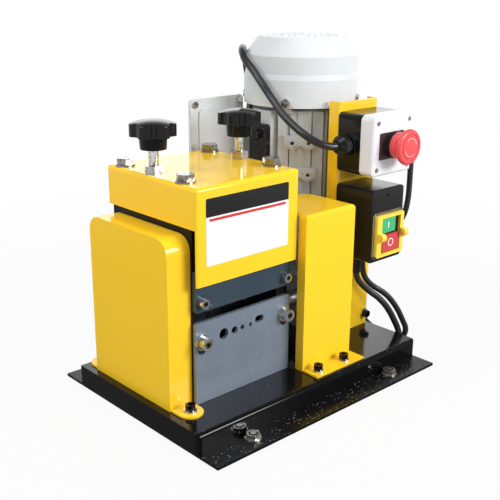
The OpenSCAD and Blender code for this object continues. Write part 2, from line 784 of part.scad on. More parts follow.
// A lobed head with a rounded rim under a shallow dome, and a tapered collar below
module star_knob(x) translate([x, axis_y, knob_z]) difference() {
  rim = knob_h - knob_dome + knob_edge / 2;
  dome_r = (knob_d * knob_d / 4 + knob_dome * knob_dome) / 2 / knob_dome;
  union() {
    intersection() {
      linear_extrude(knob_h) knob_outline();
      translate([0, 0, knob_h - dome_r]) sphere(dome_r, $fn = 96);
      rotate_extrude() {
        square([knob_d / 2 - knob_edge, knob_h + 1]);
        square([knob_d / 2, rim - knob_edge]);
        translate([knob_d / 2 - knob_edge, rim - knob_edge]) circle(knob_edge);
      }
    }
    translate([0, 0, -collar_h]) cylinder(d1 = collar_d - 2, d2 = collar_d, h = collar_h + 1);
  }
  translate([0, 0, -collar_h - 1]) cylinder(d = screw_d, h = collar_h + knob_h * 0.6 + 1);
}

module knob_left() color("#19191b") star_knob(plate_mids[0]);

module knob_right() color("#19191b") star_knob(plate_mids[1]);

// Front plates

module inlet_plate() color("#4c5763") difference() {
  along_y(-head_front - guide_t, guide_t) translate([head_mid, inlet_z + inlet_h]) mirror([0, 1])
    arch(head_w, inlet_h, guide_corner);
  for (x = plate_mids)
    rod_y(x, -head_front - guide_t - 1, inlet_screw_z, inlet_screw_d + bolt_fit, guide_t + 2);
}

module guide_plate() color("#7b8590") difference() {
  along_y(guide_front, guide_t) translate([head_mid, guide_z]) arch(head_w, guide_h, guide_corner);
  for (i = [0:3]) rod_y(wire_xs[i], guide_front - 1, hole_z, wire_ds[i], guide_t + 2);
  for (x = [-1, 1])
    rod_y(wire_xs[4] + x * (slot_w - slot_h) / 2, guide_front - 1, slot_z, slot_h, guide_t + 2);
  translate([wire_xs[4] - (slot_w - slot_h) / 2, guide_front - 1, slot_z - slot_h / 2])
    cube([slot_w - slot_h, guide_t + 2, slot_h]);
  for (x = plate_mids) {
    rod_y(x, guide_front - 1, guide_screw_z, guide_slot_w, guide_t + 2);
    rod_y(x, guide_front - 1, guide_screw_z - guide_travel - 1, guide_slot_w, guide_t + 2);
    translate([x - guide_slot_w / 2, guide_front - 1, guide_screw_z - guide_travel - 1])
      cube([guide_slot_w, guide_t + 2, guide_travel + 1]);
  }
}

// Cap screws in both front plates, with washers on the slotted one
module plate_screws() color("#b4b8bd") for (x = plate_mids) {
  cap_screw(x, -head_front - guide_t, inlet_screw_z, inlet_screw_d, inlet_screw_head_d, 6.5, guide_t + 18);
  washer_y = guide_front - cap_fit - 1.6;
  cap_screw(x, washer_y, guide_screw_z, plate_screw_d, plate_screw_head_d, 8, -head_front - washer_y + 18);
  difference() {
    rod_y(x, washer_y, guide_screw_z, 17, 1.6);
    rod_y(x, washer_y - 1, guide_screw_z, plate_screw_d, 4);
  }
}

// Guards

// A foot tab with a round end, from y towards the front or the back
module guard_tab(x, y, side, out) difference() {
  reach = out - tab_w / 2;
  union() {
    translate([x - tab_w / 2, side < 0 ? y - reach : y - 1, deck_z]) cube([tab_w, reach + 1, guard_t]);
    rod_z(x, y + side * reach, deck_z, tab_w, guard_t);
  }
  rod_z(x, y + side * reach, deck_z - 1, guard_screw_d + bolt_fit, guard_t + 2);
}

module left_guard() color("#ffd932") {
  mid_y = left_guard_rear - left_guard_d / 2;
  difference() {
    along_x(left_guard_x, left_guard_w) translate([mid_y, deck_z]) arch(left_guard_d, guard_h, left_guard_r);
    along_x(left_guard_x + guard_t, left_guard_w) translate([mid_y, deck_z - 1])
      arch(left_guard_d - 2 * guard_t, guard_h - guard_t + 1, left_guard_r - guard_t);
  }
  guard_tab(left_guard_x + tab_w / 2 + 1, left_guard_rear - left_guard_d, -1, front_tab_out);
  guard_tab(left_guard_x + tab_w / 2 + 1, left_guard_rear, 1, rear_tab_out);
}

// Outline of the right guard from above, set in by one wall's thickness if inset is guard_t
function right_guard_outline(inset) = [
  [right_guard_x + inset, -right_guard_front + inset],
  [right_guard_right - inset, -right_guard_front + inset],
  [right_guard_right - inset, -right_guard_front + right_guard_side],
  [right_guard_rear_x + 14 - inset, axis_y - 14],
  [right_guard_rear_x - inset, axis_y],
  [right_guard_rear_x - inset, head_rear - inset],
  [right_guard_x + inset, head_rear - inset]];

module right_guard() color("#ffd932") {
  difference() {
    intersection() {
      translate([0, 0, deck_z]) linear_extrude(guard_h) polygon(right_guard_outline(0));
      along_x(right_guard_x, right_guard_w) translate([(head_rear - right_guard_front) / 2, deck_z])
        arch(head_rear + right_guard_front, guard_h, 4);
      along_y(-right_guard_front, right_guard_front + head_rear)
        translate([(right_guard_x + right_guard_right) / 2, deck_z]) arch(right_guard_w, guard_h, 4);
    }
    translate([0, 0, deck_z - 1]) linear_extrude(guard_h - guard_t + 1) polygon(right_guard_outline(guard_t));
    translate([right_guard_x - 1, -right_guard_front + 11, deck_z - 1])
      cube([guard_t + 2, head_rear + right_guard_front - 11 - guard_t, guard_h - guard_t + 1]);
    translate([right_guard_x + guard_t, -right_guard_front + right_guard_side, deck_z - 1])
      cube([right_guard_w + 2, head_rear + right_guard_front - right_guard_side - guard_t - 2,
        guard_h - guard_t + 1]);
  }
  difference() {
    translate([right_guard_x, -right_guard_front - guard_foot, deck_z])
      cube([right_guard_w, guard_foot + 1, guard_t]);
    for (p = guard_screw_places()) rod_z(p[0], p[1], deck_z - 1, guard_screw_d + bolt_fit, guard_t + 2);
  }
}

function guard_screw_places() = concat(
  [for (y = [left_guard_rear - left_guard_d - front_tab_out + tab_w / 2,
    left_guard_rear + rear_tab_out - tab_w / 2]) [left_guard_x + tab_w / 2 + 1, y]],
  [for (x = [foot_screw_inset, foot_screw_inset + foot_screw_gap])
    [right_guard_x + x, -right_guard_front - foot_screw_inset]]);

module guard_screws() color("#a9adb2") for (p = guard_screw_places())
  translate([p[0], p[1], deck_z + guard_t]) {
  difference() {
    union() {
      translate([0, 0, 1.5]) cylinder(d = 10, h = 6);
      translate([0, 0, -guard_t - base_t - guard_screw_end])
        cylinder(d = guard_screw_d, h = guard_t + base_t + guard_screw_end + 2);
    }
    translate([0, 0, 4.5]) cylinder(d = 5 / cos(30), h = 4, $fn = 6);
  }
  ring(0, 0, 0, 14, guard_screw_d + 0.5, 1.5);
}

// Gearbox

module gearbox_housing() color("#9aa0a6") difference() {
  case_y = axis_y - gear_case_r;
  union() {
    along_x(gearbox_left, gearbox_w) translate([(case_y + motor_y + worm_case_r) / 2, lower_z])
      rounded(motor_y + worm_case_r - case_y, 2 * gear_case_r, 12);
    translate([motor_x, motor_y, deck_z + 4]) cylinder(r = worm_case_r, h = motor_rise - flange_t - 4);
    translate([motor_x, motor_y, motor_z - flange_t]) cylinder(r = gearbox_flange_r, h = flange_t);
    translate([gearbox_left, case_y + 2, deck_z])
      cube([gearbox_w, motor_y + worm_case_r + 10 - case_y, gearbox_foot_t]);
    for (x = [gearbox_left, gearbox_left + gearbox_w - 12])
      translate([x, case_y + 6, deck_z]) cube([12, motor_y + worm_case_r - case_y - 12, lower_axis_h - 20]);
  }
  rod_x(gearbox_left - 1, axis_y, lower_z, output_cap_d, output_cap_l + 1);
  rod_x(gearbox_left + gearbox_w - output_cap_l, axis_y, lower_z, output_cap_d, output_cap_l + 1);
  rod_x(gearbox_left - 1, axis_y, lower_z, case_bore_d, gearbox_w + 2);
  rod_x(motor_x - 11, axis_y, lower_z, 2 * wheel_r + 2 * wheel_module + 3, 22);
  rod_z(motor_x, motor_y, lower_z - 28, 2 * worm_r + 2, motor_rise);
  for (p = deck_bolt_places()) if (p[0] > gearbox_left) rod_z(p[0], p[1], deck_z - 1, p[2], p[3] + 1);
  for (a = [45:90:315]) rotate_about(motor_x, motor_y, a, flange_bolt_r)
    cylinder(d = flange_bolt_d + bolt_fit, h = 400, center = true);
}

module rotate_about(x, y, a, r) {
  translate([x + r * cos(a), y + r * sin(a), 0]) children();
}

// The two output covers, each with four screws, and the bolts that hold the motor's foot
module gearbox_caps() color("#8d9399") {
  for (side = [0, 1]) {
    x0 = side ? gearbox_left + gearbox_w - output_cap_l : gearbox_left + 1;
    out = side ? gearbox_left + gearbox_w : gearbox_left - 4;
    difference() {
      union() {
        rod_x(x0, axis_y, lower_z, output_cap_d - cap_fit, output_cap_l - 1);
        rod_x(out, axis_y, lower_z, output_rim_d, 4);
        for (a = [45:90:315])
          translate([side ? out + 4 : out - 3, axis_y + 23 * cos(a), lower_z + 23 * sin(a)]) rotate([0, 90, 0])
            cylinder(d = 6, h = 3);
      }
      rod_x(x0 - 10, axis_y, lower_z, lower_shaft_d + 2 * run_fit, 40);
    }
  }
  for (a = [45:90:315]) rotate_about(motor_x, motor_y, a, flange_bolt_r) {
    hexagon(0, 0, motor_z - flange_t - 4, 12, 4);
    translate([0, 0, motor_z - flange_t - 1]) cylinder(d = flange_bolt_d, h = 15);
  }
}

// Motor

// Fins run between the four diagonal pads and the flat face for the bracket. Each pad has a ribbed middle
// panel and a lower one on either side of it, with narrow grooves between
module motor_outline() {
  circle(motor_r - 7);
  for (a = [0:7.5:352.5])
    if (abs((a % 90) - 45) > 28 && abs(a - 180) > 16)
      rotate(a) translate([motor_r - 9, -1.1]) square([9, 2.2]);
  for (a = [45:90:315]) rotate(a) {
    translate([0, -pad_w / 2]) square([pad_r - 1.5, pad_w]);
    translate([0, -3.5]) square([pad_r - 0.5, 7.5]);
    for (side = [-1, 1])
      translate([30, side * (pad_w / 2 + pad_groove + side_pad_w / 2) - side_pad_w / 2])
        square([side_pad_r - 30, side_pad_w]);
  }
  translate([-bracket_face, -bracket_w / 2]) square([bracket_face, bracket_w]);
}

// A plate with two round ends that stands out from a pad, and a ringed boss round each hole
module mounting_lug() {
  reach = pad_r + lug_reach;
  translate([40, -lug_w / 2, -3]) cube([reach - 40, lug_w, 11]);
  for (y = [-1, 1]) translate([40, y * lug_hole_gap / 2, 0]) rotate([0, 90, 0]) {
    cylinder(r = 7.5, h = reach - 40);
    cylinder(d = 9, h = reach - 39);
  }
}

module motor_housing() color("#c9cccd") difference() {
  union() {
    translate([motor_x, motor_y, motor_z]) cylinder(r = gearbox_flange_r + 2, h = 10);
    translate([motor_x, motor_y, motor_z + 10]) cylinder(r = motor_r - 6, h = 8);
    translate([motor_x, motor_y, motor_z + 14]) linear_extrude(motor_h - 15) motor_outline();
    translate([motor_x, motor_y, housing_top - 12]) cylinder(r = motor_r - 5, h = 12);
    for (z = lug_zs) translate([motor_x, motor_y, z]) rotate(225) mounting_lug();
    translate([terminal_right, saddle_y, terminal_z + 8])
      cube([saddle_reach, terminal_front + saddle_d - saddle_y, terminal_h - 30]);
    for (a = fan_screw_angles) translate([motor_x, motor_y, housing_top - 2]) rotate(a)
      translate([fan_cover_r - 17, -5, 0]) cube([17 - fan_cover_t - 0.6, 10, 14]);
  }
  rod_z(motor_x, motor_y, motor_z + 16, 2 * rotor_r + 1, motor_h - 30);
  rod_z(motor_x, motor_y, motor_z - 1, motor_shaft_d + 2, motor_h + 20);
  rod_z(motor_x, motor_y, motor_z - 1, 2 * worm_r + 2, 10);
  for (a = [45:90:315]) rotate_about(motor_x, motor_y, a, flange_bolt_r)
    rod_z(0, 0, motor_z - 1, flange_bolt_d, 9);
  for (z = lug_zs) translate([motor_x, motor_y, z]) rotate(225)
    for (y = [-1, 1]) translate([50, y * lug_hole_gap / 2, 0]) rotate([0, 90, 0]) cylinder(d = 4.6, h = 20);
  for (a = fan_screw_angles) translate([motor_x, motor_y, fan_cover_z + 6]) rotate(a)
    translate([fan_cover_r - 12, 0, 0]) rotate([0, 90, 0]) cylinder(d = 4, h = 20);
  for (z = bracket_bolt_zs) rod_x(motor_x - bracket_face - 1, motor_y, z, 6, 12);
}

// A flat bar from the base pan up to the motor's left face, with its bolts
module motor_bracket() color("#1a1b1d") {
  difference() {
    union() {
      along_x(bracket_x, bracket_t) translate([motor_y, deck_z]) arch(bracket_w, bracket_top - deck_z, 5);
      translate([bracket_x - 14, motor_y - bracket_w / 2, deck_z]) cube([15, bracket_w, 5]);
    }
    for (p = deck_bolt_places()) if (p[0] < bracket_x) rod_z(p[0], p[1], deck_z - 1, p[2], 5);
    for (z = bracket_bolt_zs) rod_x(bracket_x - 1, motor_y, z, 6 + bolt_fit, bracket_t + 2);
  }
  for (z = bracket_bolt_zs) {
    rod_x(bracket_x - 1, motor_y, z, 6, bracket_t + 10);
    translate([bracket_x - 4, motor_y, z]) rotate([0, 90, 0]) cylinder(d = 10 / cos(30), h = 4, $fn = 6);
  }
}

// Shaft with the worm at its foot, the rotor core in the middle and the fan's seat on top
module motor_shaft() color("#a4a7ab") union() {
  rod_z(motor_x, motor_y, lower_z - 26, motor_shaft_d, housing_top + 34 - lower_z + 26);
  rod_z(motor_x, motor_y, lower_z - 24, 2 * worm_r, 48);
  rod_z(motor_x, motor_y, motor_z + 26, 2 * rotor_r, motor_h - 50);
}

module cooling_fan() color("#33353a") translate([motor_x, motor_y, housing_top + 16]) difference() {
  union() {
    cylinder(d = 34, h = 16);
    cylinder(r = fan_cover_r - 14, h = 2);
    for (a = [0:45:315]) rotate(a) translate([12, -1, 0]) cube([fan_cover_r - 26, 2, 20]);
  }
  translate([0, 0, -1]) cylinder(d = motor_shaft_d, h = 30);
}

// Deep drawn cover: straight skirt, a shallow step, a cone and a flat top with rings of holes
module fan_cover() color("#e1e6eb") difference() {
  rise = fan_cover_top - fan_cover_z;
  step_r = fan_cover_r - 1.5;
  top_r = fan_cover_r - 16;
  translate([motor_x, motor_y, fan_cover_z]) rotate_extrude() difference() {
    polygon([[0, 0], [fan_cover_r, 0], [fan_cover_r, 30], [step_r, 36], [step_r, rise - 20],
      [top_r, rise], [0, rise]]);
    polygon([[-1, -1], [fan_cover_r - fan_cover_t, -1], [fan_cover_r - fan_cover_t, 30],
      [step_r - fan_cover_t, 36], [step_r - fan_cover_t, rise - 20.6],
      [top_r - fan_cover_t, rise - fan_cover_t], [-1, rise - fan_cover_t]]);
  }
  for (i = [1:5], a = [0:360 / (6 * i):359])
    rotate_about(motor_x, motor_y, a + i * 7, i * 8) rod_z(0, 0, fan_cover_top - 4, 4.4, 6);
  for (a = fan_screw_angles) translate([motor_x, motor_y, fan_cover_z + 6]) rotate(a)
    translate([fan_cover_r - 12, 0, 0]) rotate([0, 90, 0]) cylinder(d = 4.6, h = 20);
}

module fan_cover_screws() color("#d4d7da") for (a = fan_screw_angles)
  translate([motor_x, motor_y, fan_cover_z + 6]) rotate(a) translate([fan_cover_r, 0, 0]) rotate([0, 90, 0]) {
    cylinder(d = 9 / cos(30), h = 3.2, $fn = 6);
    translate([0, 0, -9]) cylinder(d = 4, h = 10);
  }

// Terminal box. It narrows from its lid towards the rear, on top and on the side away from the motor

module terminal_shell(wall, corner, front, rear) intersection() {
  along_y(front, rear - front) translate([(terminal_left + terminal_right) / 2, terminal_z + terminal_h / 2])
    rounded(terminal_w - 4 - 2 * wall, terminal_h - 4 - 2 * wall, corner);
  translate([0, 0, terminal_z]) linear_extrude(terminal_h)
    polygon([[terminal_left + wall, front], [terminal_right, front], [terminal_right, rear],
      [terminal_left + wall + 0.95 * (rear - front), rear]]);
  along_x(terminal_left, terminal_w)
    polygon([[front, terminal_z], [rear, terminal_z], [rear, terminal_top - wall - 0.45 * (rear - front)],
      [front, terminal_top - wall]]);
}

module terminal_box() color("#aeb4b8") difference() {
  union() {
    terminal_shell(0, 5, terminal_front + terminal_lid_t, terminal_front + terminal_d);
    translate([terminal_right - 2.5, terminal_front + 8, terminal_z + 12]) cube([2.3, 8, terminal_h - 38]);
  }
  terminal_shell(3, 3, terminal_front + terminal_lid_t - 1, terminal_front + terminal_d - 3);
  rod_x(terminal_gland[0] - 8, terminal_gland[1], terminal_gland[2], 16, 10);
}

// Lid with a rim, rounded corners and a raised middle
module terminal_lid() color("#b9bfc3") difference() {
  mid = [(terminal_left + terminal_right) / 2, terminal_z + terminal_h / 2];
  union() {
    along_y(terminal_front + 2, terminal_lid_t - 2) translate(mid) rounded(terminal_w, terminal_h, 6);
    along_y(terminal_front, 3) translate(mid) rounded(terminal_w - 22, terminal_h - 22, 7);
  }
  for (x = [-1, 1], z = [-1, 1])
    rod_y(mid[0] + x * (terminal_w / 2 - terminal_screw_in), terminal_front + 1,
      mid[1] + z * (terminal_h / 2 - terminal_screw_in), 4.2, 8);
}

module terminal_screws() color("#c9ccd0") for (x = [-1, 1], z = [-1, 1]) {
  at = [(terminal_left + terminal_right) / 2 + x * (terminal_w / 2 - terminal_screw_in),
    terminal_z + terminal_h / 2 + z * (terminal_h / 2 - terminal_screw_in)];
  rod_y(at[0], terminal_front - 0.2, at[1], 7.5, 2.2);
  rod_y(at[0], terminal_front + 1.5, at[1], 4, 4.4);
}

// Control column

module column_outline() {
  difference() {
    translate([0, column_d]) rounded(column_w, 2 * column_d, 4);
    translate([0, column_d]) rounded(column_w - 2 * column_t, 2 * column_d - 2 * column_t, 2);
    translate([-column_w, column_d]) square([2 * column_w, 2 * column_d]);
  }
}

module control_column() color("#ffd932") difference() {
  union() {
    translate([column_mid, -column_front, deck_z]) linear_extrude(column_h) column_outline();
    translate([column_left + column_t, -column_front + 1, deck_z])
      cube([column_w - 2 * column_t, column_d - 2, 3]);
  }
  for (x = column_bolt_xs) rod_y(x, -column_front - 1, column_bolt_z, column_bolt_d + bolt_fit, column_t + 2);
  for (p = deck_bolt_places()) if (p[1] < -column_front + column_d && p[0] > column_left)
    rod_z(p[0], p[1], deck_z - 1, p[2], 6);
  rod_y(column_mid, -column_front - 1, stop_z, 20, column_t + 2);
}

// Cap screws through the column's foot, with washers in front and nuts behind
module column_bolts() color("#b4b8bd") for (x = column_bolt_xs) {
  washer_y = -column_front - column_washer_t;
  cap_screw(x, washer_y, column_bolt_z, column_bolt_d, 9, 5, column_washer_t + column_t + column_nut_h + 2);
  difference() {
    rod_y(x, washer_y, column_bolt_z, column_washer_d, column_washer_t);
    rod_y(x, washer_y - 1, column_bolt_z, column_bolt_d, column_washer_t + 2);
  }
  translate([x, -column_front + column_t, column_bolt_z]) rotate([-90, 30, 0])
    cylinder(d = column_nut_af / cos(30), h = column_nut_h, $fn = 6);
}

// Stop button and its box

module stop_box_base() color("#1b1b1d") difference() {
  along_y(-column_front - stop_base_d, stop_base_d)
    translate([column_mid, stop_z]) rounded(stop_w, stop_h, 6);
  along_y(-column_front - stop_base_d - 1, stop_base_d - 2) translate([column_mid, stop_z])
    rounded(stop_w - 6, stop_h - 6, 4);
  for (x = [column_mid - stop_w / 2 - 1, column_mid + stop_w / 2 - 4])
    rod_x(x, stop_gland_y, stop_z, 16, 5);
}

module stop_box_lid() color("#f1f2f4") difference() {
  intersection() {
    along_y(-stop_front, stop_lid_d) translate([column_mid, stop_z]) rounded(stop_w, stop_h, 7);
    along_x(column_mid - stop_w / 2, stop_w)
      translate([-stop_front + stop_lid_d, stop_z]) rounded(2 * stop_lid_d, stop_h, 4);
    translate([column_mid, -stop_front + stop_lid_d, stop_z - stop_h / 2])
      linear_extrude(stop_h) rounded(stop_w, 2 * stop_lid_d, 4);
  }
  along_y(-stop_front + 3, stop_lid_d) translate([column_mid, stop_z]) rounded(stop_w - 6, stop_h - 6, 4);
  rod_y(column_mid, -stop_front - 1, stop_z, stem_d + 1, 6);
  for (x = [-1, 1], z = [-1, 1])
    rod_y(column_mid + x * (stop_w / 2 - stop_screw_in), -stop_front - 1,
      stop_z + z * (stop_h / 2 - stop_screw_in), 6, 2.5);
}

module stop_box_screws() color("#b9bcc0") for (x = [-1, 1], z = [-1, 1])
  translate([column_mid + x * (stop_w / 2 - stop_screw_in), -stop_front,
    stop_z + z * (stop_h / 2 - stop_screw_in)]) difference() {
      rod_y(0, 0.5, 0, 5.6, 1);
      translate([-3, 0, -0.5]) cube([6, 0.9, 1]);
  }

// Blank plate, ring and tube that clamp the button's barrel in the lid
module stop_collar() color("#222428") difference() {
  union() {
    along_y(-stop_front - 1.2, 1.2) translate([column_mid + legend_x, stop_z]) rounded(legend_w, legend_h, 1);
    rod_y(column_mid, -stop_front - ring_h, stop_z, 30, 1.5);
    rod_y(column_mid, -stop_front - tube_h, stop_z, tube_d, tube_h - 0.5);
    rod_y(column_mid, -stop_front - 1, stop_z, stem_d + 0.6, barrel_l + 1);
  }
  rod_y(column_mid, -stop_front - tube_h - 1, stop_z, plunger_d + 2 * cap_fit, 40);
}

module stop_plunger() color("#46484c") {
  shoulder = -stop_front - head_rise - head_hollow;
  rod_y(column_mid, shoulder, stop_z, plunger_d, head_rise + head_hollow + 16);
  rod_y(column_mid, shoulder - head_pin_l + 0.2, stop_z, 8, head_pin_l);
}

// Mushroom head: a hollow neck that flares to a thick round rim, with a grooved face
module stop_mushroom() color("#e2393f") translate([column_mid, -stop_front - head_rise, stop_z])
  rotate([90, 0, 0]) rotate_extrude() {
    hollow_r = tube_d / 2 + seat_gap;
    rim_r = 3.2;
    rim_x = mushroom_d / 2 - rim_r;
    rim_y = head_l - 0.8 - rim_r;
    polygon([[4 + run_fit, head_hollow], [hollow_r, head_hollow], [hollow_r, 0], [hollow_r + 1.3, 0],
      [hollow_r + 1.3, 6], [hollow_r + 1.9, 8.4], [rim_x, rim_y - rim_r], [rim_x, rim_y + rim_r],
      [15, head_l - 0.8], [14.4, head_l - 1.5], [13.2, head_l - 1.5], [12.6, head_l - 0.8], [0, head_l],
      [0, head_hollow + head_pin_l], [4 + run_fit, head_hollow + head_pin_l]]);
    translate([rim_x, rim_y]) circle(rim_r);
  }

// Switch box and its keys. The keys stand in two windows of a raised panel, inside the yellow bezel

module switch_box() color("#1b1b1d") difference() {
  union() {
    intersection() {
      along_y(-switch_front, switch_d) translate([switch_mid, switch_z + switch_h / 2])
        rounded(switch_w, switch_h, 4);
      along_x(switch_left, switch_w) translate([-column_front, switch_z + switch_h / 2])
        rounded(2 * switch_d, switch_h, 2);
    }
    along_y(-switch_front - panel_t, panel_t + 1)
      translate([panel_x, bezel_z]) square([panel_w, panel_h], center = true);
  }
  along_y(-switch_front + 3, switch_d - 5) translate([switch_mid, switch_z + switch_h / 2])
    rounded(switch_w - 6, switch_h - 6, 2);
  along_y(-switch_front - panel_t - 1, 8) {
    translate([start_key_x, start_key_z])
      square([start_key_w + 2 * key_fit, start_key_h + 2 * key_fit], center = true);
    translate([panel_x, stop_key_z])
      square([stop_key_w + 2 * key_fit, stop_key_h + 2 * key_fit], center = true);
  }
  rod_y(switch_mid, -switch_front - 1, switch_z + switch_h - 8, 3, 5);
  for (p = [lead_grip, mains_grip]) rod_z(p[0], p[1], switch_z - 1, 10, 5);
}

// Bezel with an ear on each side for a flap's pins
module switch_bezel() color("#f4d43a") difference() {
  union() {
    along_y(-switch_front - bezel_t, bezel_t) translate([switch_mid, bezel_z]) rounded(bezel_w, bezel_h, 3);
    for (x = [-1, 1]) along_x(switch_mid + x * ear_x - ear_w / 2, ear_w)
      translate([-switch_front - bezel_t - ear_out, bezel_z]) union() {
        translate([0, -ear_r]) square([ear_out + 1, 2 * ear_r]);
        circle(ear_r);
      }
  }
  along_y(-switch_front - bezel_t - 1, bezel_t + 2) translate([panel_x, bezel_z])
    square([panel_w + 0.2, panel_h + 0.2], center = true);
  rod_x(switch_left - 10, -switch_front - bezel_t - ear_out, bezel_z, 3, switch_w + 20);
}

module switch_pins() color("#c9ccd0") for (x = [-1, 1])
  rod_x(switch_mid + x * ear_x - ear_w / 2 - 1.2, -switch_front - bezel_t - ear_out, bezel_z, 3, ear_w + 2.4);

module start_key() color("#2f9e63") along_y(-switch_front - panel_t - start_key_out, 8)
  translate([start_key_x, start_key_z]) rounded(start_key_w, start_key_h, 1);

module stop_key() color("#d8343a") along_y(-switch_front - panel_t - stop_key_out, 10)
  translate([panel_x, stop_key_z]) rounded(stop_key_w, stop_key_h, 1);

// Cable glands, pointing away from their boxes along +Z before they are turned
module gland(cord_d, len) {
  difference() {
    union() {
      translate([0, 0, -3]) cylinder(d = 14, h = 4);
      cylinder(d = 22 / cos(30), h = 5, $fn = 6);
      translate([0, 0, 5]) cylinder(d = 18, h = 3);
      translate([0, 0, 8]) rotate_extrude()
        polygon([[0, 0], [11, 0], [11, len - 14], [cord_d / 2 + 2.4, len - 8], [0, len - 8]]);
    }
    translate([0, 0, -4]) cylinder(d = cord_d, h = len + 6);
    for (a = [0:30:330]) rotate(a) translate([11.6, 0, 9.5]) cylinder(d = 2, h = len);
  }
}

// A moulded grip under the switch box, its sleeve tapering down around the cord
module cord_grip(place, cord_d, len) translate([place[0], place[1], switch_z]) rotate([180, 0, 0])
  difference() {
  union() {
    translate([0, 0, -5]) cylinder(d = 9.9, h = 6);
    cylinder(d = 14, h = 2.5);
    rotate_extrude() polygon([[0, 0], [cord_d / 2 + 2.2, 0], [cord_d / 2 + 1, len], [0, len]]);
  }
  translate([0, 0, -6]) cylinder(d = cord_d, h = len + 8);
}

module cable_glands() color("#202124") {
  translate([column_mid - stop_w / 2, stop_gland_y, stop_z]) rotate([0, -90, 0])
    gland(motor_lead_d, gland_len);
  translate([column_mid + stop_w / 2, stop_gland_y, stop_z]) rotate([0, 90, 0])
    gland(control_lead_d, gland_len);
  translate(terminal_gland) rotate([0, 90, 0]) gland(motor_lead_d, gland_len);
  cord_grip(lead_grip, control_lead_d, 12);
  cord_grip(mains_grip, mains_cord_d, 21);
}

// Cords: a round tube swept along its route's own points

function unit(v) = v / norm(v);
function direction(p, i) = unit(p[min(i + 1, len(p) - 1)] - p[max(i - 1, 0)]);
function side_of(d) = unit(cross(d, abs(d[2]) > 0.9 ? [0, 1, 0] : [0, 0, 1]));
function frames(p, i, s) = i >= len(p) ? []
  : let (d = direction(p, i), raw = i == 0 ? side_of(d) : s - (s * d) * d, u = unit(raw))
    concat([[d, u]], frames(p, i + 1, u));

module tube(route, d, sides) {
  f = frames(route, 0, [1, 0, 0]);
  n = len(route);
  points = [for (i = [0:n - 1], k = [0:sides - 1])
    let (a = k * 360 / sides, u = f[i][1], v = cross(f[i][0], u))
      route[i] + d / 2 * (cos(a) * u + sin(a) * v)];
  walls = [for (i = [0:n - 2], k = [0:sides - 1])
    let (a = i * sides + k, b = i * sides + (k + 1) % sides) [a, b, b + sides, a + sides]];
  start = [[for (k = [sides - 1:-1:0]) k]];
  end = [[for (k = [0:sides - 1]) (n - 1) * sides + k]];
  polyhedron(points, concat(start, [for (w = walls) w], end), convexity = 6);
}

module motor_lead() color("#2b2d33") translate([base_left, 0, 0]) tube(motor_lead_route, motor_lead_d, 10);

module control_lead() color("#2b2d33") translate([base_left, 0, 0])
  tube(control_lead_route, control_lead_d, 10);

module mains_cord() color("#202124") translate([base_left, 0, 0]) {
  tube(mains_cord_route, mains_cord_d, 10);
  tube(mains_tail_route, mains_cord_d, 10);
}

module mains_coil() color("#202124") translate([coil_x, coil_y, 0]) rotate_extrude()
  translate([coil_r - coil_columns * mains_cord_d / 2, 0])
    square([coil_columns * mains_cord_d, coil_layers * mains_cord_d]);

// Straight plug lying on its side: a tapered grip, a body and three blades
module mains_plug() color("#202124") translate([plug_x, plug_y, plug_z]) rotate([0, -90, 0]) {
  rotate_extrude() polygon([[0, 0], [mains_cord_d / 2 + 1, 0], [8, 20], [11.5, 24], [11.5, 42], [0, 42]]);
  for (y = [-6.4, 6.4]) translate([-3.2, y - 0.8, 41]) cube([6.4, 1.6, 19]);
  translate([8, 0, 41]) cylinder(d = 4.8, h = 21);
}

base_pan();
rubber_feet();
foot_nuts();
side_plate_left();
side_plate_right();
tie_rods();
deck_bolts();
lower_bearings();
lower_shaft();
feed_roller();
lower_gear();
worm_wheel();
bearing_blocks();
upper_bearings();
upper_shaft();
cutter_blades();
upper_gear();
head_cover();
cover_bolts();
screw_nuts();
screw_left();
knob_left();
screw_right();
knob_right();
inlet_plate();
guide_plate();
plate_screws();
left_guard();
right_guard();
guard_screws();
gearbox_housing();
gearbox_caps();
motor_housing();
motor_bracket();
motor_shaft();
cooling_fan();
fan_cover();
fan_cover_screws();
terminal_box();
terminal_lid();
terminal_screws();
control_column();
column_bolts();
stop_box_base();
stop_box_lid();
stop_box_screws();
stop_collar();
stop_plunger();
stop_mushroom();
switch_box();
switch_bezel();
switch_pins();
start_key();
stop_key();
cable_glands();
motor_lead();
control_lead();
mains_cord();
mains_coil();
mains_plug();
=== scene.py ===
"""Looks of a bench wire stripping machine: paint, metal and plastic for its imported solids, with its leads
and its small marks. Lengths are in metres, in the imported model's own frame, and in millimetres where they
go through at()."""

import json
import math

import bmesh
import bpy
from mathutils import Matrix, Vector


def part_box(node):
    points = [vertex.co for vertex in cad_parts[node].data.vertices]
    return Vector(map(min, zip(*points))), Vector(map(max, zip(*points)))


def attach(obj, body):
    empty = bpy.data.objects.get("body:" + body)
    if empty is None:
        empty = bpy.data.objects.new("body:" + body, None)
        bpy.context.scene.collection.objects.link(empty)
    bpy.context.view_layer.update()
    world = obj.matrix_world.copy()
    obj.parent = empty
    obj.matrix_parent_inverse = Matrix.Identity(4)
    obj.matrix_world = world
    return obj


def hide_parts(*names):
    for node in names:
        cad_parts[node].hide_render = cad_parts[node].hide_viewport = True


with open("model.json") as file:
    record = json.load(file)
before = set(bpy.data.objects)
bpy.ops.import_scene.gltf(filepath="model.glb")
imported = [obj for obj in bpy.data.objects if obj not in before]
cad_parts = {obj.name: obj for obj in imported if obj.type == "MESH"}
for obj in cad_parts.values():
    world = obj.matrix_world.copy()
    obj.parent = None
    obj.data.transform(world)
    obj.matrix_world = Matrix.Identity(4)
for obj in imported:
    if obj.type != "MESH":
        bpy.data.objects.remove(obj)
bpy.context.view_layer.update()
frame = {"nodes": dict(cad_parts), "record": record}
nodes = frame["nodes"]
BASE_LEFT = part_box("base_pan")[0][0]


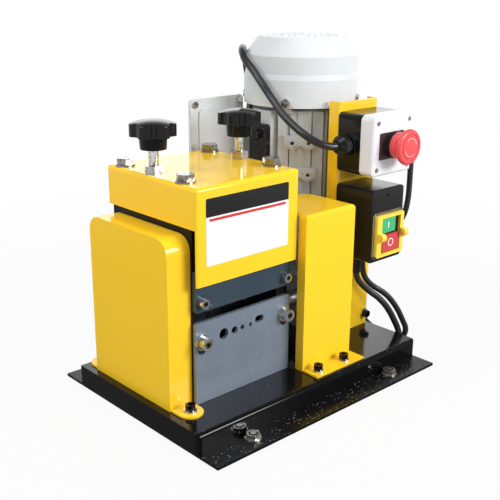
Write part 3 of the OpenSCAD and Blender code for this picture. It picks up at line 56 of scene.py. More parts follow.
def at(x, y, z):
    """A point given in millimetres from the base's left end, the middle of its depth and the floor."""
    return Vector((BASE_LEFT + x / 1000, y / 1000, z / 1000))


# Shader maths written as Python


class Value:
    """One output of a node tree. Sums and products of it add Math nodes."""

    def __init__(self, graph, socket):
        self.graph, self.socket = graph, socket

    def maths(self, operation, *values):
        return self.graph.node("ShaderNodeMath", {"operation": operation}, dict(enumerate(values)))

    def __add__(self, other):
        return self.maths("ADD", self, other)

    def __sub__(self, other):
        return self.maths("SUBTRACT", self, other)

    def __mul__(self, other):
        return self.maths("MULTIPLY", self, other)

    def __rsub__(self, other):
        return self.maths("SUBTRACT", other, self)

    __radd__ = __add__
    __rmul__ = __mul__

    def least(self, other):
        return self.maths("MINIMUM", self, other)

    def most(self, other):
        return self.maths("MAXIMUM", self, other)

    def rise(self, low, high):
        """0 below low and 1 above high, smooth between."""
        settings = {"interpolation_type": "SMOOTHSTEP"}
        inputs = {"Value": self, "From Min": low, "From Max": high}
        return self.graph.node("ShaderNodeMapRange", settings, inputs)

    def within(self, low, high, edge=0.0001):
        """1 between low and high."""
        return self.rise(low - edge, low + edge) * (1 - self.rise(high - edge, high + edge))


class Graph:
    """A node tree, filled by one method."""

    def __init__(self, tree):
        self.tree = tree

    def node(self, kind, settings, inputs, output=0):
        made = self.tree.nodes.new(kind)
        for key, value in settings.items():
            setattr(made, key, value)
        for key, value in inputs.items():
            if isinstance(value, Value):
                self.tree.links.new(value.socket, made.inputs[key])
            else:
                made.inputs[key].default_value = value
        return Value(self, made.outputs[output])

    def ray(self, kind):
        return self.node("ShaderNodeLightPath", {}, {}, f"Is {kind} Ray")

    def mix(self, mask, first, second):
        inputs = {0: mask, 6: first, 7: second}
        return self.node("ShaderNodeMix", {"data_type": "RGBA", "clamp_factor": True}, inputs, 2)


class Finish(Graph):
    """A material: a Principled shader, and the nodes that vary it over the surface. uniform sets more of
    the shader's sockets, by their names in small letters."""

    def __init__(self, name, colour, rough, **uniform):
        self.material = bpy.data.materials.new(name)
        self.material.use_nodes = True
        super().__init__(self.material.node_tree)
        self.shader = self.tree.nodes["Principled BSDF"]
        self.colour = (*colour, 1)
        self.shader.inputs["Base Color"].default_value = self.colour
        self.shader.inputs["Roughness"].default_value = rough
        for key, value in uniform.items():
            self.shader.inputs[key.replace("_", " ").title().replace("Ior", "IOR")].default_value = value

    def feed(self, socket, value):
        self.tree.links.new(value.socket, self.shader.inputs[socket])
        return self

    def place(self, stretch=(1, 1, 1)):
        """The point on the piece, in metres, stretched along each axis."""
        spot = self.node("ShaderNodeTexCoord", {}, {}, "Object")
        return self.node("ShaderNodeVectorMath", {"operation": "MULTIPLY"}, {0: spot, 1: stretch})

    def along(self, axis):
        return self.node("ShaderNodeSeparateXYZ", {}, {"Vector": self.place()}, axis)

    def facing(self, axis):
        """How far the surface faces along an axis."""
        normal = self.node("ShaderNodeNewGeometry", {}, {}, "Normal")
        return self.node("ShaderNodeSeparateXYZ", {}, {"Vector": normal}, axis)

    def noise(self, size, detail=3, rough=0.5, stretch=(1, 1, 1)):
        inputs = {"Vector": self.place(stretch), "Scale": 1 / size, "Detail": detail, "Roughness": rough}
        return self.node("ShaderNodeTexNoise", {}, inputs)

    def specks(self, size, radius):
        """1 in small scattered dots and 0 between them."""
        inputs = {"Vector": self.place(), "Scale": 1 / size, "Randomness": 1}
        distance = self.node("ShaderNodeTexVoronoi", {"feature": "F1"}, inputs, "Distance")
        return 1 - distance.rise(radius * 0.5, radius)

    def near_axis(self, axis, spots, radius, inner=0):
        """1 between two radii round lines that run along an axis, each through one of the spots."""
        flat = [0 if name == axis else 1 for name in "XYZ"]
        rings = []
        for spot in spots:
            inputs = {0: self.place(flat), 1: [v * f for v, f in zip(spot, flat)]}
            away = self.node("ShaderNodeVectorMath", {"operation": "DISTANCE"}, inputs, "Value")
            rings.append(away.within(inner, radius, edge=0.0002))
        return sum(rings[1:], rings[0])

    def bump(self, height, depth):
        inputs = {"Height": height, "Strength": 1, "Distance": depth}
        return self.feed("Normal", self.node("ShaderNodeBump", {}, inputs))


def tint(colour, factor):
    return (*[min(1, c * factor) for c in colour[:3]], 1)


# Finishes

# What lies over a finish in places, or takes its place
GRIME = (0.2, 0.12, 0.02, 1)
SETTLED_DUST = (0.42, 0.4, 0.36, 1)
BRACKET_DUST = (0.35, 0.34, 0.31, 1)
PALE_DUST = (0.6, 0.6, 0.58, 1)
RUST = (0.16, 0.07, 0.03, 1)
# Painted shade: black in the box screws' recesses, and painted dark reflections on the screw heads over
# washers
PAINTED_SHADE_BLACK = (0.03, 0.03, 0.033, 1)
# Painted shade in the hollows of screws and in the gaps round the studs
HOLLOW_SHADE = (0.05, 0.04, 0.034, 1)
MOTOR_DIRT = (0.16, 0.15, 0.125, 1)
RUBBED_SHEATH = (0.045, 0.047, 0.054, 1)
PLATE_SOIL = (0.4, 0.38, 0.34, 1)
BAND_BLACK = (0.008, 0.008, 0.009, 1)
RULE_RED = (0.7, 0.035, 0.035, 1)

# The apron's plate, with the depth of its band and the place of the rule under it, in millimetres
PLATE_LEFT, PLATE_RIGHT, PLATE_LOW, PLATE_HIGH = 44.5, 152.5, 173, 239
BAND_DEPTH = 18.1
RULE_LOW, RULE_HIGH = PLATE_HIGH - 22.5, PLATE_HIGH - 19.8
RULE_MARGIN = 4


def yellow_paint():
    """Gloss yellow powder coat with a fine orange peel, a little duller low down."""
    f = Finish("yellow_paint", (1.0, 0.63, 0.024), 0.12, specular_ior_level=0.45)
    cloud = f.noise(0.12, 3, 0.5)
    handled = f.noise(0.03, 4, 0.6).rise(0.55, 0.8)
    grime = f.noise(0.02, 5, 0.7).rise(0.58, 0.8) * (1 - f.along("Z").rise(0.028, 0.06))
    warm = f.mix(cloud.rise(0.3, 0.75) * 0.5, f.colour, tint(f.colour, 0.95))
    f.feed("Base Color", f.mix(grime * 0.35, warm, GRIME))
    f.feed("Roughness", 0.1 + handled * 0.05 + grime * 0.2)
    return f.bump(f.noise(0.004, 2, 0.4), 0.000008)


def base_paint():
    """Gloss black stoving paint with settled dust on its level faces."""
    f = Finish("base_paint", (0.0035, 0.0037, 0.0043), 0.12, specular_ior_level=0.26)
    top = f.facing("Z").rise(0.5, 0.9)
    low = 1 - f.along("Z").rise(0.009, 0.012)
    deck_patches = f.noise(0.04, 2).rise(0.42, 0.62) * (0.4 - low * 0.4)
    patches = deck_patches + f.noise(0.02, 2).rise(0.3, 0.5) * low
    specks = f.specks(0.0036, 0.2) * patches * top
    film = f.noise(0.05, 5, 0.65).rise(0.45, 0.8)
    dust = (specks * 0.75 + film * 0.02 * top).least(1)
    f.feed("Base Color", f.mix(dust, f.colour, SETTLED_DUST))
    f.feed("Roughness", 0.1 + film * 0.12 + low * top * 0.15 + specks * 0.4)
    return f.bump(f.noise(0.004, 3, 0.5), 0.00002)


def bracket_paint():
    """The same black paint, dusty all over."""
    f = Finish("bracket_paint", (0.005, 0.005, 0.006), 0.3, specular_ior_level=0.35)
    dust = f.noise(0.012, 5, 0.7).rise(0.55, 0.8) * 0.1 + f.specks(0.003, 0.2) * 0.5
    f.feed("Base Color", f.mix(dust, f.colour, BRACKET_DUST))
    f.feed("Roughness", 0.25 + dust * 0.5)
    return f.bump(f.noise(0.003, 3, 0.5), 0.00006)


def steel(name, colour, rough, grain=(1, 1, 1), bright=1.0):
    """Machined or ground steel; grain stretches its fine lines. A low bright makes it dull and satin."""
    f = Finish(name, colour, rough, metallic=bright)
    lines = f.noise(0.0012, 4, 0.7, grain)
    stain = f.noise(0.02, 4, 0.6).rise(0.5, 0.85)
    f.feed("Base Color", f.mix(lines * 0.35 + stain * 0.3, f.colour, tint(f.colour, 0.62)))
    f.feed("Roughness", rough + (lines - 0.5) * 0.18 + stain * 0.1)
    return f.bump(lines, 0.00002)


def zinc(name, colour=(0.78, 0.77, 0.73), black=None, dark=()):
    """Bright zinc plate with dull spots, and a little rust low down, on the foot nuts.
    black is an axis and the stretch of it that is painted black on the screws as painted shade. dark lists
    the hollows and gaps that are painted dark as painted shade, each as near_axis() takes them."""
    f = Finish(name, colour, 0.16, metallic=0.92)
    spots = f.noise(0.004, 4, 0.6).rise(0.42, 0.68)
    rust = f.noise(0.003, 4, 0.65).rise(0.42, 0.62) * (1 - f.along("Z").rise(0.011, 0.014))
    plate = f.mix(spots * 0.8, f.colour, tint(f.colour, 0.4))
    shade = f.mix(rust * 0.7, plate, RUST)
    if black:
        axis, low, high = black
        # The stretch painted black is painted shade
        shade = f.mix(f.along(axis).within(low, high), shade, PAINTED_SHADE_BLACK)
    for hollow in dark:
        # Each hollow painted dark is painted shade
        shade = f.mix(f.near_axis(*hollow), shade, HOLLOW_SHADE)
    f.feed("Base Color", shade)
    f.feed("Roughness", 0.1 + spots * 0.2 + rust * 0.3)
    return f.bump(f.noise(0.0015, 3), 0.00001)


def painted_steel(name, colour, rough):
    """Satin paint on flat steel plate, with fine scratches and a few specks of dust."""
    f = Finish(name, colour, rough, metallic=0.25, specular_ior_level=0.35)
    cloud = f.noise(0.06, 4, 0.6)
    scratch = f.noise(0.001, 3, 0.6, (0.05, 1, 1)).rise(0.66, 0.76)
    worn = f.mix(scratch * 0.45 + cloud.rise(0.35, 0.8) * 0.25, f.colour, tint(f.colour, 1.6))
    dust = f.specks(0.006, 0.13) * f.noise(0.03, 2).rise(0.45, 0.6)
    f.feed("Base Color", f.mix(dust * 0.7, worn, PALE_DUST))
    f.feed("Roughness", rough + (cloud - 0.5) * 0.2)
    return f.bump(scratch + f.noise(0.0015, 2) * 0.4, 0.00003)


def enamel(name, colour, soil, **uniform):
    """Grey enamel over metal, softly uneven, with some soil."""
    f = Finish(name, colour, 0.34, **uniform)
    cloud = f.noise(0.03, 4, 0.6)
    dirt = f.noise(0.012, 5, 0.65).rise(0.45, 0.8) * soil
    worn = f.mix(cloud.rise(0.4, 0.8) * 0.4, f.colour, tint(f.colour, 0.88))
    f.feed("Base Color", f.mix(dirt, worn, MOTOR_DIRT))
    f.feed("Roughness", 0.27 + cloud * 0.14 + dirt * 0.3)
    return f.bump(f.noise(0.003, 3, 0.5), 0.00005)


def plastic(name, colour, rough, depth=0.00001, **uniform):
    """Moulded plastic with a fine spark-eroded grain and a few handling marks."""
    f = Finish(name, colour, rough, **uniform)
    grit = f.noise(0.0008, 2, 0.5)
    marks = f.noise(0.012, 4, 0.65).rise(0.58, 0.8)
    f.feed("Base Color", f.mix(marks * 0.3, f.colour, tint(f.colour, 0.82)))
    f.feed("Roughness", rough + (grit - 0.5) * 0.08 + marks * 0.08)
    return f.bump(grit, depth)


def cord_sheath():
    """Black sheath with a soft sheen and faint rubbing."""
    f = Finish("cord_sheath", (0.019, 0.02, 0.024), 0.36)
    rub = f.noise(0.006, 4, 0.6).rise(0.5, 0.8)
    f.feed("Base Color", f.mix(rub * 0.4, f.colour, RUBBED_SHEATH))
    f.feed("Roughness", 0.3 + rub * 0.16)
    return f.bump(f.noise(0.0011, 2), 0.00002)


def plate_vinyl():
    """Blank white plate with a plain dark band along its top and a thin red rule under the band."""
    f = Finish("plate_vinyl", (0.86, 0.87, 0.88), 0.3)
    x, z = f.along("X"), f.along("Z")
    band_foot = at(0, 0, PLATE_HIGH - BAND_DEPTH).z
    band = z.rise(band_foot - 0.0001, band_foot + 0.0001)
    start, end = at(PLATE_LEFT + RULE_MARGIN, 0, RULE_LOW), at(PLATE_RIGHT - RULE_MARGIN, 0, RULE_HIGH)
    rule = z.within(start.z, end.z) * x.within(start.x, end.x)
    soil = f.noise(0.012, 4, 0.6).rise(0.55, 0.8) * 0.06
    field = f.mix(soil, f.colour, PLATE_SOIL)
    f.feed("Base Color", f.mix(rule, f.mix(band, field, BAND_BLACK), RULE_RED))
    f.feed("Roughness", 0.24 + soil)
    return f.bump(f.noise(0.004, 2), 0.00001)


finishes = {
    "base_paint": base_paint(),
    "rubber": plastic("rubber", (0.03, 0.03, 0.03), 0.8),
    "zinc": zinc("zinc"),
    "plate_steel": steel("plate_steel", (0.03, 0.031, 0.034), 0.4),
    "machined_steel": steel("machined_steel", (0.5, 0.51, 0.52), 0.28, (0.2, 1, 1)),
    "roller_steel": steel("roller_steel", (0.2, 0.2, 0.22), 0.34, (1, 0.2, 0.2)),
    "gear_steel": steel("gear_steel", (0.42, 0.38, 0.3), 0.3),
    "bronze": steel("bronze", (0.55, 0.36, 0.12), 0.3),
    "yellow_paint": yellow_paint(),
    "guide_steel": painted_steel("guide_steel", (0.205, 0.247, 0.31), 0.32),
    "inlet_steel": painted_steel("inlet_steel", (0.045, 0.072, 0.1), 0.3),
    "cast_alloy": enamel("cast_alloy", (0.62, 0.66, 0.7), 0.03),
    "motor_paint": enamel("motor_paint", (0.53, 0.57, 0.6), 0.3),
    "black_plastic": plastic("black_plastic", (0.009, 0.009, 0.01), 0.2, specular_ior_level=0.4),
    "knob_plastic": plastic("knob_plastic", (0.004, 0.004, 0.0045), 0.14, specular_ior_level=0.26),
    "white_plastic": plastic("white_plastic", (0.8, 0.81, 0.84), 0.28, depth=0.000005),
    "red_plastic": plastic("red_plastic", (0.78, 0.072, 0.08), 0.3),
    "green_plastic": plastic("green_plastic", (0.06, 0.45, 0.2), 0.25),
    "bezel_plastic": plastic("bezel_plastic", (1.0, 0.69, 0.07), 0.24),
    "cord_sheath": cord_sheath(),
}

# Screws whose hollows are painted dark as painted shade: the middles of the plates' cap screws, and of the
# studs in the foot nuts
PLATE_SCREW_X, GUIDE_SCREW_Z, INLET_SCREW_Z = (44, 156), 94, 135.3
STUD_X, STUD_Y = (60, 270), (-113, 113)
guide_screws = [at(x, 0, GUIDE_SCREW_Z) for x in PLATE_SCREW_X]
inlet_screws = [at(x, 0, INLET_SCREW_Z) for x in PLATE_SCREW_X]
studs = [at(x, y, 0) for x in STUD_X for y in STUD_Y]
GUIDE_SOCKET, INLET_SOCKET = 0.0032, 0.0025
NUT_BORE, STUD_TIP = 0.0046, 0.0033

# Screws painted black for a stretch of one axis as painted shade: in the recesses of the box screws, and on
# the heads over washers, where it stands in for their dark reflections
BOX_SCREW_RECESS = ("Y", -0.0793, -0.07)
GUARD_SCREW_HEADS = ("Z", 0.0316, 0.05)
COLUMN_BOLT_HEADS = ("Y", -0.05, -0.0316)

own_finishes = {
    "fan_cover": enamel("fan_cover_enamel", (0.66, 0.695, 0.72), 0.0, specular_ior_level=0.1),
    "motor_bracket": bracket_paint(),
    "cutter_blades": steel("blade_steel", (0.62, 0.63, 0.65), 0.3, bright=0.5),
    # Painted shade: the cover bolts' zinc is darker than the other zinc, standing in for the dark
    # reflections on their tops
    "cover_bolts": zinc("cover_bolt_steel", (0.36, 0.34, 0.31)),
    "screw_nuts": zinc("screw_nut_steel", (0.6, 0.58, 0.54)),
    "plate_screws": zinc("plate_screw_steel",
                         dark=[("Y", guide_screws, GUIDE_SOCKET), ("Y", inlet_screws, INLET_SOCKET)]),
    "foot_nuts": zinc("foot_nut_steel", dark=[("Z", studs, NUT_BORE, STUD_TIP)]),
    "stop_box_screws": zinc("box_screw_steel", (0.6, 0.6, 0.6), black=BOX_SCREW_RECESS),
    "stop_collar": plastic("collar_plastic", (0.03, 0.031, 0.034), 0.25),
    "stop_key": plastic("red_key_plastic", (0.6, 0.06, 0.06), 0.3),
    "guard_screws": zinc("guard_screw_steel", black=GUARD_SCREW_HEADS),
    "column_bolts": zinc("column_bolt_steel", black=COLUMN_BOLT_HEADS),
}
slot_of = {part["node"]: part["material_slot"] for part in frame["record"]["subparts"]}
for name, piece in nodes.items():
    for slot in piece.material_slots:
        slot.material = own_finishes.get(name, finishes[slot_of[name]]).material


# Leads


def rounded_path(points, steps=8):
    """A smooth curve through the points."""
    ends = [2 * points[0] - points[1], *points, 2 * points[-1] - points[-2]]
    path = []
    for a, b, c, d in zip(ends, ends[1:], ends[2:], ends[3:]):
        slope, bend, twist = c - a, 2 * a - 5 * b + 4 * c - d, 3 * b - a - 3 * c + d
        for i in range(steps):
            t = i / steps
            path.append(0.5 * (2 * b + slope * t + bend * t * t + twist * t**3))
    return path + [points[-1]]


def path_length(path):
    return sum((b - a).length for a, b in zip(path, path[1:]))


def lead(name, path, diameter, stands_for, **facts):
    """A round cable along the path, in place of the imported pieces it stands for."""
    curve = bpy.data.curves.new(name, "CURVE")
    curve.dimensions = "3D"
    curve.bevel_depth = diameter / 2
    curve.bevel_resolution = 5
    curve.use_fill_caps = True
    spline = curve.splines.new("POLY")
    spline.points.add(len(path) - 1)
    for point, spot in zip(spline.points, path):
        point.co = (*spot, 1)
    curve.materials.append(finishes["cord_sheath"].material)
    piece = bpy.data.objects.new(name, curve)
    bpy.context.scene.collection.objects.link(piece)
    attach(piece, "machine")
    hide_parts(*stands_for)
    round(path_length(path), 3)


# Thickness of the leads, in metres, and their routes, in millimetres
MOTOR_LEAD_THICK, CONTROL_LEAD_THICK, MAINS_CORD_THICK = 0.0085, 0.007, 0.0075
MOTOR_LEAD = [
    (240, 117, 263), (248, 117, 263), (257, 118, 266), (265, 120, 273), (270, 122, 283), (272, 124, 296),
    (271, 125, 313), (266, 124, 330), (258, 118, 344), (246, 108, 353), (233, 95, 356), (220, 81, 353),
    (213, 68, 345), (211, 54, 336), (211, 40, 323), (213, 25, 307), (212, 8, 293), (212, -8, 283),
    (214, -24, 274), (221, -37, 266), (231, -44, 262), (240, -47, 261), (248, -47, 261),
]
CONTROL_LEAD = [
    (344, -47, 261), (352, -47, 261), (360, -47, 260), (368, -47, 256), (373, -47, 249), (375, -47, 239),
    (375, -47, 220), (375, -47, 200), (374, -47, 181), (371, -45, 162), (365, -38, 145), (357, -24, 129),
    (350, -7, 113), (346, 9, 96), (345, 19, 76), (348, 22, 56), (353, 16, 37), (357, 3, 20),
    (360, -12, 9), (361, -28, 4), (361, -44, 4), (360, -57, 7), (358, -66, 14), (355, -70, 25),
    (350, -68, 37), (344, -65, 50), (337, -61, 62), (330, -57, 71), (322, -53, 78), (314, -49, 84),
    (307, -46, 91), (302, -44, 99), (300, -43, 108), (299, -43, 117), (299, -43, 125),
]
MAINS_CORD = [
    (280, -50, 117), (280, -50, 109), (283, -51, 100), (289, -54, 92), (297, -58, 84), (306, -63, 76),
    (314, -68, 66), (321, -71, 55), (327, -73, 44), (333, -74, 33), (338, -73, 23), (343, -69, 14),
    (347, -61, 8), (349, -51, 5), (350, -39, 4), (350, -25, 4), (350, -8, 4), (351, 10, 4), (352, 30, 4),
    (352, 52, 4), (352, 74, 4), (351, 96, 4), (349, 118, 4), (346, 142, 4), (345, 168, 4),
]
MAINS_TAIL = [(296, 232, 18), (285, 232, 16), (273, 232, 13), (261, 232, 12)]

# The coil of the mains cord: its middle, and each turn's radius and height, in millimetres
COIL_CENTRE = (300, 187)
COIL_TURNS = [(45, 4), (37.5, 4), (37.5, 11.3), (45, 11.3), (45, 18.7)]


def coil_turns(steps=24, crossing=0.25):
    """The turns of the put-away cord: each lies beside or on the last one, and crossing is the share of a
    turn in which the cord moves over to its next place."""
    spots = []
    last = len(COIL_TURNS) - 1
    for i in range(1, len(COIL_TURNS) * steps + steps // 8):
        turns = i / steps
        cell = min(int(turns), last)
        shift = max(0, turns % 1 - (1 - crossing)) / crossing
        shift = shift * shift * (3 - 2 * shift)
        (r0, z0), (r1, z1) = COIL_TURNS[cell], COIL_TURNS[min(cell + 1, last)]
        radius, height = r0 + (r1 - r0) * shift, z0 + (z1 - z0) * shift
        angle = 2 * math.pi * turns
        x, y = radius * math.cos(angle), radius * math.sin(angle)
        spots.append(at(COIL_CENTRE[0] + x, COIL_CENTRE[1] + y, height))
    return spots


# Small pieces drawn here


def drawn_piece(name, bm, finish, body):
    """One named piece of the faces in bm, with its finish, on the body that carries it."""
    bmesh.ops.recalc_face_normals(bm, faces=bm.faces)
    mesh = bpy.data.meshes.new(name)
    bm.to_mesh(mesh)
    bm.free()
    mesh.materials.append(finish.material)
    piece = bpy.data.objects.new(name, mesh)
    bpy.context.scene.collection.objects.link(piece)
    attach(piece, body)
    return piece


def slab(name, outlines, back, thick, finish, body, hole=None):
    """Flat outlines in X and Z, in millimetres, raised towards the front from the plane y = back. A hole
    has as many points as the outline round it."""
    bm = bmesh.new()

    def both_rims(outline):
        return [[bm.verts.new(at(x, y, z)) for x, z in outline] for y in (back, back - thick)]

    for outline in outlines:
        rims = both_rims(outline)
        inner = both_rims(hole) if hole else None
        count = len(outline)
        for i in range(count):
            j = (i + 1) % count
            bm.faces.new((rims[0][i], rims[0][j], rims[1][j], rims[1][i]))
            if inner:
                bm.faces.new((inner[0][j], inner[0][i], inner[1][i], inner[1][j]))
                bm.faces.new((rims[1][i], rims[1][j], inner[1][j], inner[1][i]))
                bm.faces.new((rims[0][j], rims[0][i], inner[0][i], inner[0][j]))
        if not inner:
            bm.faces.new(rims[1])
            bm.faces.new(reversed(rims[0]))
    return drawn_piece(name, bm, finish, body)


def soften(piece, width):
    """Rounds the piece's edges."""
    bevel = piece.modifiers.new("soft_edge", "BEVEL")
    bevel.width, bevel.segments, bevel.limit_method = width, 2, "ANGLE"


def on_circle(x, z, radius, angle):
    return x + radius * math.cos(angle), z + radius * math.sin(angle)


def rounded_box(left, right, low, high, radius, steps=6):
    """Outline of a rectangle with round corners."""
    corners = [(right - radius, high - radius, 0), (left + radius, high - radius, 90),
               (left + radius, low + radius, 180), (right - radius, low + radius, 270)]
    return [on_circle(x, z, radius, math.radians(start + 90 * i / steps))
            for x, z, start in corners for i in range(steps + 1)]


def arc_band(x, z, inner, outer, start, end, steps=14):
    """Outline of part of a ring, from one angle to another in degrees."""
    angles = [math.radians(start + (end - start) * i / steps) for i in range(steps + 1)]
    outer_side = [on_circle(x, z, outer, angle) for angle in angles]
    return outer_side + [on_circle(x, z, inner, angle) for angle in reversed(angles)]


def ring_outline(x, z, radius, steps=40):
    return [on_circle(x, z, radius, 2 * math.pi * i / steps) for i in range(steps)]


def turning_arrow(x, z, start, sweep=105):
    """Outlines of one arrow round a middle: a band from the angle start on, and a head before it."""
    band_inner, band_outer = 9.2, 10.4
    tip_radius, head_outer, head_inner = 9.8, 11.3, 8.3
    head_reach, head_lap = 14, 1
    tip, root = math.radians(start - head_reach), math.radians(start + head_lap)
    head = [(tip_radius, tip), (head_outer, root), (head_inner, root)]
    return [arc_band(x, z, band_inner, band_outer, start, start + sweep),
            [on_circle(x, z, radius, angle) for radius, angle in head]]


def cord_tie():
    """Flat strap round all the turns of the coil, at its far side. It slants where the top turn has no
    other inside it. Its faces are given by distance from the coil's middle and by height."""
    width, thick = 9, 0.9
    near, far, foot, top = 33.4, 49.1, 0.2, 22.7
    slant_high, slant_low, slant_shift = 42, 15.4, 0.4
    floor_gap = 0.02
    inside = [(near, foot), (far, foot), (far, top), (slant_high, top), (near, slant_low)]
    outside = [(near - thick, floor_gap), (far + thick, floor_gap), (far + thick, top + thick),
               (slant_high - slant_shift, top + thick), (near - thick, slant_low + slant_shift)]
    bm = bmesh.new()
    loops = [[bm.verts.new(at(COIL_CENTRE[0] - side, COIL_CENTRE[1] + y, z)) for y, z in face]
             for side in (-width / 2, width / 2) for face in (inside, outside)]
    for i in range(len(inside)):
        j = (i + 1) % len(inside)
        for a, b in ((0, 2), (1, 3), (0, 1), (2, 3)):
            bm.faces.new((loops[a][i], loops[a][j], loops[b][j], loops[b][i]))
    piece = drawn_piece("cord_tie", bm, finishes["black_plastic"], "machine")
    soften(piece, width=0.0004)
    return piece


motor_path = rounded_path([at(*p) for p in MOTOR_LEAD])
control_path = rounded_path([at(*p) for p in CONTROL_LEAD])
mains_path = rounded_path([at(*p) for p in MAINS_CORD] + coil_turns() + [at(*p) for p in MAINS_TAIL], 4)
lead("motor_lead_sheath", motor_path, MOTOR_LEAD_THICK, ["motor_lead"],
     far_end="object", stiffness="stiff", lay="hanging")
lead("control_lead_sheath", control_path, CONTROL_LEAD_THICK, ["control_lead"],
     far_end="object", stiffness="medium", lay="hanging")
lead("mains_cord_sheath", mains_path, MAINS_CORD_THICK, ["mains_cord", "mains_coil"],
     far_end="plug", stiffness="medium", lay="coiled", with_pieces=[nodes["mains_plug"], cord_tie()])

PLATE_CORNER, PLATE_THICK = 1.6, 0.3
apron_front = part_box("head_cover")[0][1] * 1000
plate_outline = rounded_box(PLATE_LEFT, PLATE_RIGHT, PLATE_LOW, PLATE_HIGH, PLATE_CORNER)
apron_plate = slab("apron_plate", [plate_outline], apron_front, PLATE_THICK, plate_vinyl(),
                   "machine")
soften(apron_plate, width=0.0001)


def middle(box):
    """Middle of a box's front face, in the units of at()."""
    low, high = box
    x, z = ((low[i] + high[i]) / 2 for i in (0, 2))
    return (x - BASE_LEFT) * 1000, low[1] * 1000, z * 1000


# The bar and the ring on the two keys
BAR_WIDTH, BAR_HEIGHT, BAR_CORNER = 1.4, 7.2, 0.3
RING_OUTER, RING_INNER = 4.6, 3.5
MARK_THICK = 0.15
white_mark = plastic("white_mark", (0.85, 0.86, 0.86), 0.35)
x, y, z = middle(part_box("start_key"))
bar = rounded_box(x - BAR_WIDTH / 2, x + BAR_WIDTH / 2, z - BAR_HEIGHT / 2, z + BAR_HEIGHT / 2, BAR_CORNER)
slab("start_mark", [bar], y, MARK_THICK, white_mark, "start_switch")
x, y, z = middle(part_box("stop_key"))
ring, ring_hole = ring_outline(x, z, RING_OUTER), ring_outline(x, z, RING_INNER)
slab("stop_mark", [ring], y, MARK_THICK, white_mark, "stop_switch", hole=ring_hole)

# The clear seal round the switch. It lies on the box, behind the front of the box's raised panel
PANEL_RISE = 2.5
SEAL_MARGIN, SEAL_CORNER, SEAL_THICK = 2.4, 4, 2.4
SEAL_LAP, SEAL_LAP_CORNER = 1, 3
bezel_low, bezel_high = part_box("switch_bezel")
left, right = ((v[0] - BASE_LEFT) * 1000 for v in (bezel_low, bezel_high))
low, high = bezel_low[2] * 1000, bezel_high[2] * 1000
box_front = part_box("switch_box")[0][1] * 1000 + PANEL_RISE
seal_outline = rounded_box(left - SEAL_MARGIN, right + SEAL_MARGIN, low - SEAL_MARGIN, high + SEAL_MARGIN,
                           SEAL_CORNER)
seal_hole = rounded_box(left + SEAL_LAP, right - SEAL_LAP, low + SEAL_LAP, high - SEAL_LAP, SEAL_LAP_CORNER)
clear_plastic = plastic("clear_plastic", (0.93, 0.95, 0.95), 0.12, transmission_weight=0.9)
seal = slab("switch_seal", [seal_outline], box_front, SEAL_THICK, clear_plastic, "machine",
            hole=seal_hole)
soften(seal, width=0.0003)

# Two arrows that show which way the stop button turns to come free. Its face slopes back from the
# middle, so they start behind that by FACE_FALL
FACE_FALL = 1.0
ARROW_THICK = 0.6
FIRST_ARROW, SECOND_ARROW = 25, 205
x, y, z = middle(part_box("stop_mushroom"))
pale_red = plastic("pale_red_plastic", (0.95, 0.34, 0.33), 0.35)
arrows = turning_arrow(x, z, FIRST_ARROW) + turning_arrow(x, z, SECOND_ARROW)
slab("turn_arrows", arrows, y + FACE_FALL, ARROW_THICK, pale_red, "stop_head")


# Camera, floor and light


def camera_at(spot, heading, dip, roll, lens):
    """heading turns from +Y to +X, dip is below the horizon; both in degrees."""
    turn, down, lean = (math.radians(v) for v in (heading, dip, roll))
    ahead = Vector((math.sin(turn) * math.cos(down), math.cos(turn) * math.cos(down), -math.sin(down)))
    level = Vector((math.cos(turn), -math.sin(turn), 0))
    up = level.cross(ahead)
    right = math.cos(lean) * level + math.sin(lean) * up
    data = bpy.data.cameras.new("camera")
    data.lens, data.sensor_width = lens, 36
    camera = bpy.data.objects.new("camera", data)
    axes = Matrix((right, right.cross(ahead), -ahead)).transposed().to_4x4()
    camera.matrix_world = Matrix.Translation(spot) @ axes
    bpy.context.scene.collection.objects.link(camera)
    bpy.context.scene.camera = camera


def softbox(name, spot, aim, width, height, power):
    """A rectangular lamp turned towards aim."""
    data = bpy.data.lights.new(name, "AREA")
    data.shape, data.size, data.size_y, data.energy = "RECTANGLE", width, height, power
    lamp = bpy.data.objects.new(name, data)
    lamp.location = spot
    lamp.rotation_euler = (Vector(aim) - Vector(spot)).to_track_quat("-Z", "Y").to_euler()
    bpy.context.scene.collection.objects.link(lamp)


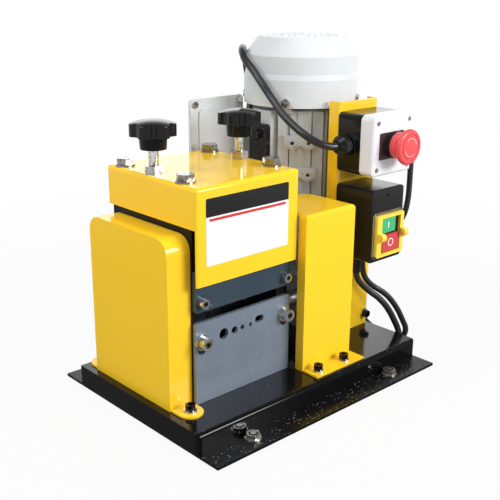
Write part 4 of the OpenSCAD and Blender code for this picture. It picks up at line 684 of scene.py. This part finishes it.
def white_floor():
    """Pale floor that is white to the camera and in reflections, with a trace of the machine's shadow."""
    reach = 9
    mesh = bpy.data.meshes.new("floor")
    corners = [(-reach, -reach, 0), (reach, -reach, 0), (reach, reach, 0), (-reach, reach, 0)]
    mesh.from_pydata(corners, [], [(0, 1, 2, 3)])
    floor = bpy.data.objects.new("floor", mesh)
    bpy.context.scene.collection.objects.link(floor)
    f = Finish("floor", (0.45, 0.45, 0.45), 0.7, specular_ior_level=0.2)
    away = f.node("ShaderNodeVectorMath", {"operation": "LENGTH"}, {0: f.place()}, "Value")
    glossy = f.ray("Glossy")
    plain = f.ray("Camera").most(f.ray("Transmission")) * (0.94 + away.rise(0.35, 1.1) * 0.06)
    level = 1 - glossy * (0.8 - away.rise(0.5, 1.8) * 0.8)
    glow = f.node("ShaderNodeEmission", {}, {"Color": level, "Strength": 1})
    inputs = {0: plain.most(glossy), 1: Value(f, f.shader.outputs[0]), 2: glow}
    surface = f.node("ShaderNodeMixShader", {}, inputs)
    f.tree.links.new(surface.socket, f.tree.nodes["Material Output"].inputs["Surface"])
    mesh.materials.append(f.material)


def studio_sky():
    """Even light all round. Reflections see white low behind the machine, and a dim room elsewhere."""
    world = bpy.data.worlds.new("studio")
    bpy.context.scene.world = world
    world.use_nodes = True
    g = Graph(world.node_tree)
    way = g.node("ShaderNodeTexCoord", {}, {}, "Generated")
    away_from_camera = (0.68, 0.73, 0)
    inputs = {0: way, 1: away_from_camera}
    behind = g.node("ShaderNodeVectorMath", {"operation": "DOT_PRODUCT"}, inputs, "Value")
    height = g.node("ShaderNodeSeparateXYZ", {}, {"Vector": way}, "Z")
    mirrored = 0.12 + behind.rise(-0.2, 0.6) * (1 - height.rise(0.35, 0.75)) * 0.88
    plain = g.ray("Camera").most(g.ray("Transmission"))
    glossy = g.ray("Glossy")
    strength = plain + (1 - plain) * (glossy * mirrored + (1 - glossy) * 0.42)
    background = g.tree.nodes["Background"]
    g.tree.links.new(strength.socket, background.inputs["Strength"])
    background.inputs["Color"].default_value = (1, 1, 1, 1)


camera_at(Vector((-0.6105, -0.6398, 0.4319)), heading=42.86, dip=17.87, roll=0.40, lens=60.64)
white_floor()
studio_sky()
softbox("front_light", (0.6, -1.45, 0.8), aim=(0, 0, 0.15), width=0.9, height=0.6, power=25)
softbox("top_light", (-0.5, -0.1, 1.45), aim=(0, 0, 0.2), width=0.9, height=0.9, power=6.5)
softbox("left_light", (-1.45, 0.3, 1.05), aim=(0, 0, 0.15), width=0.6, height=0.8, power=10)
softbox("back_light", (1.3, 1.5, 0.92), aim=(-0.05, 0, 0.25), width=1.2, height=0.8, power=3.5)
bpy.context.scene.view_settings.view_transform = "Standard"
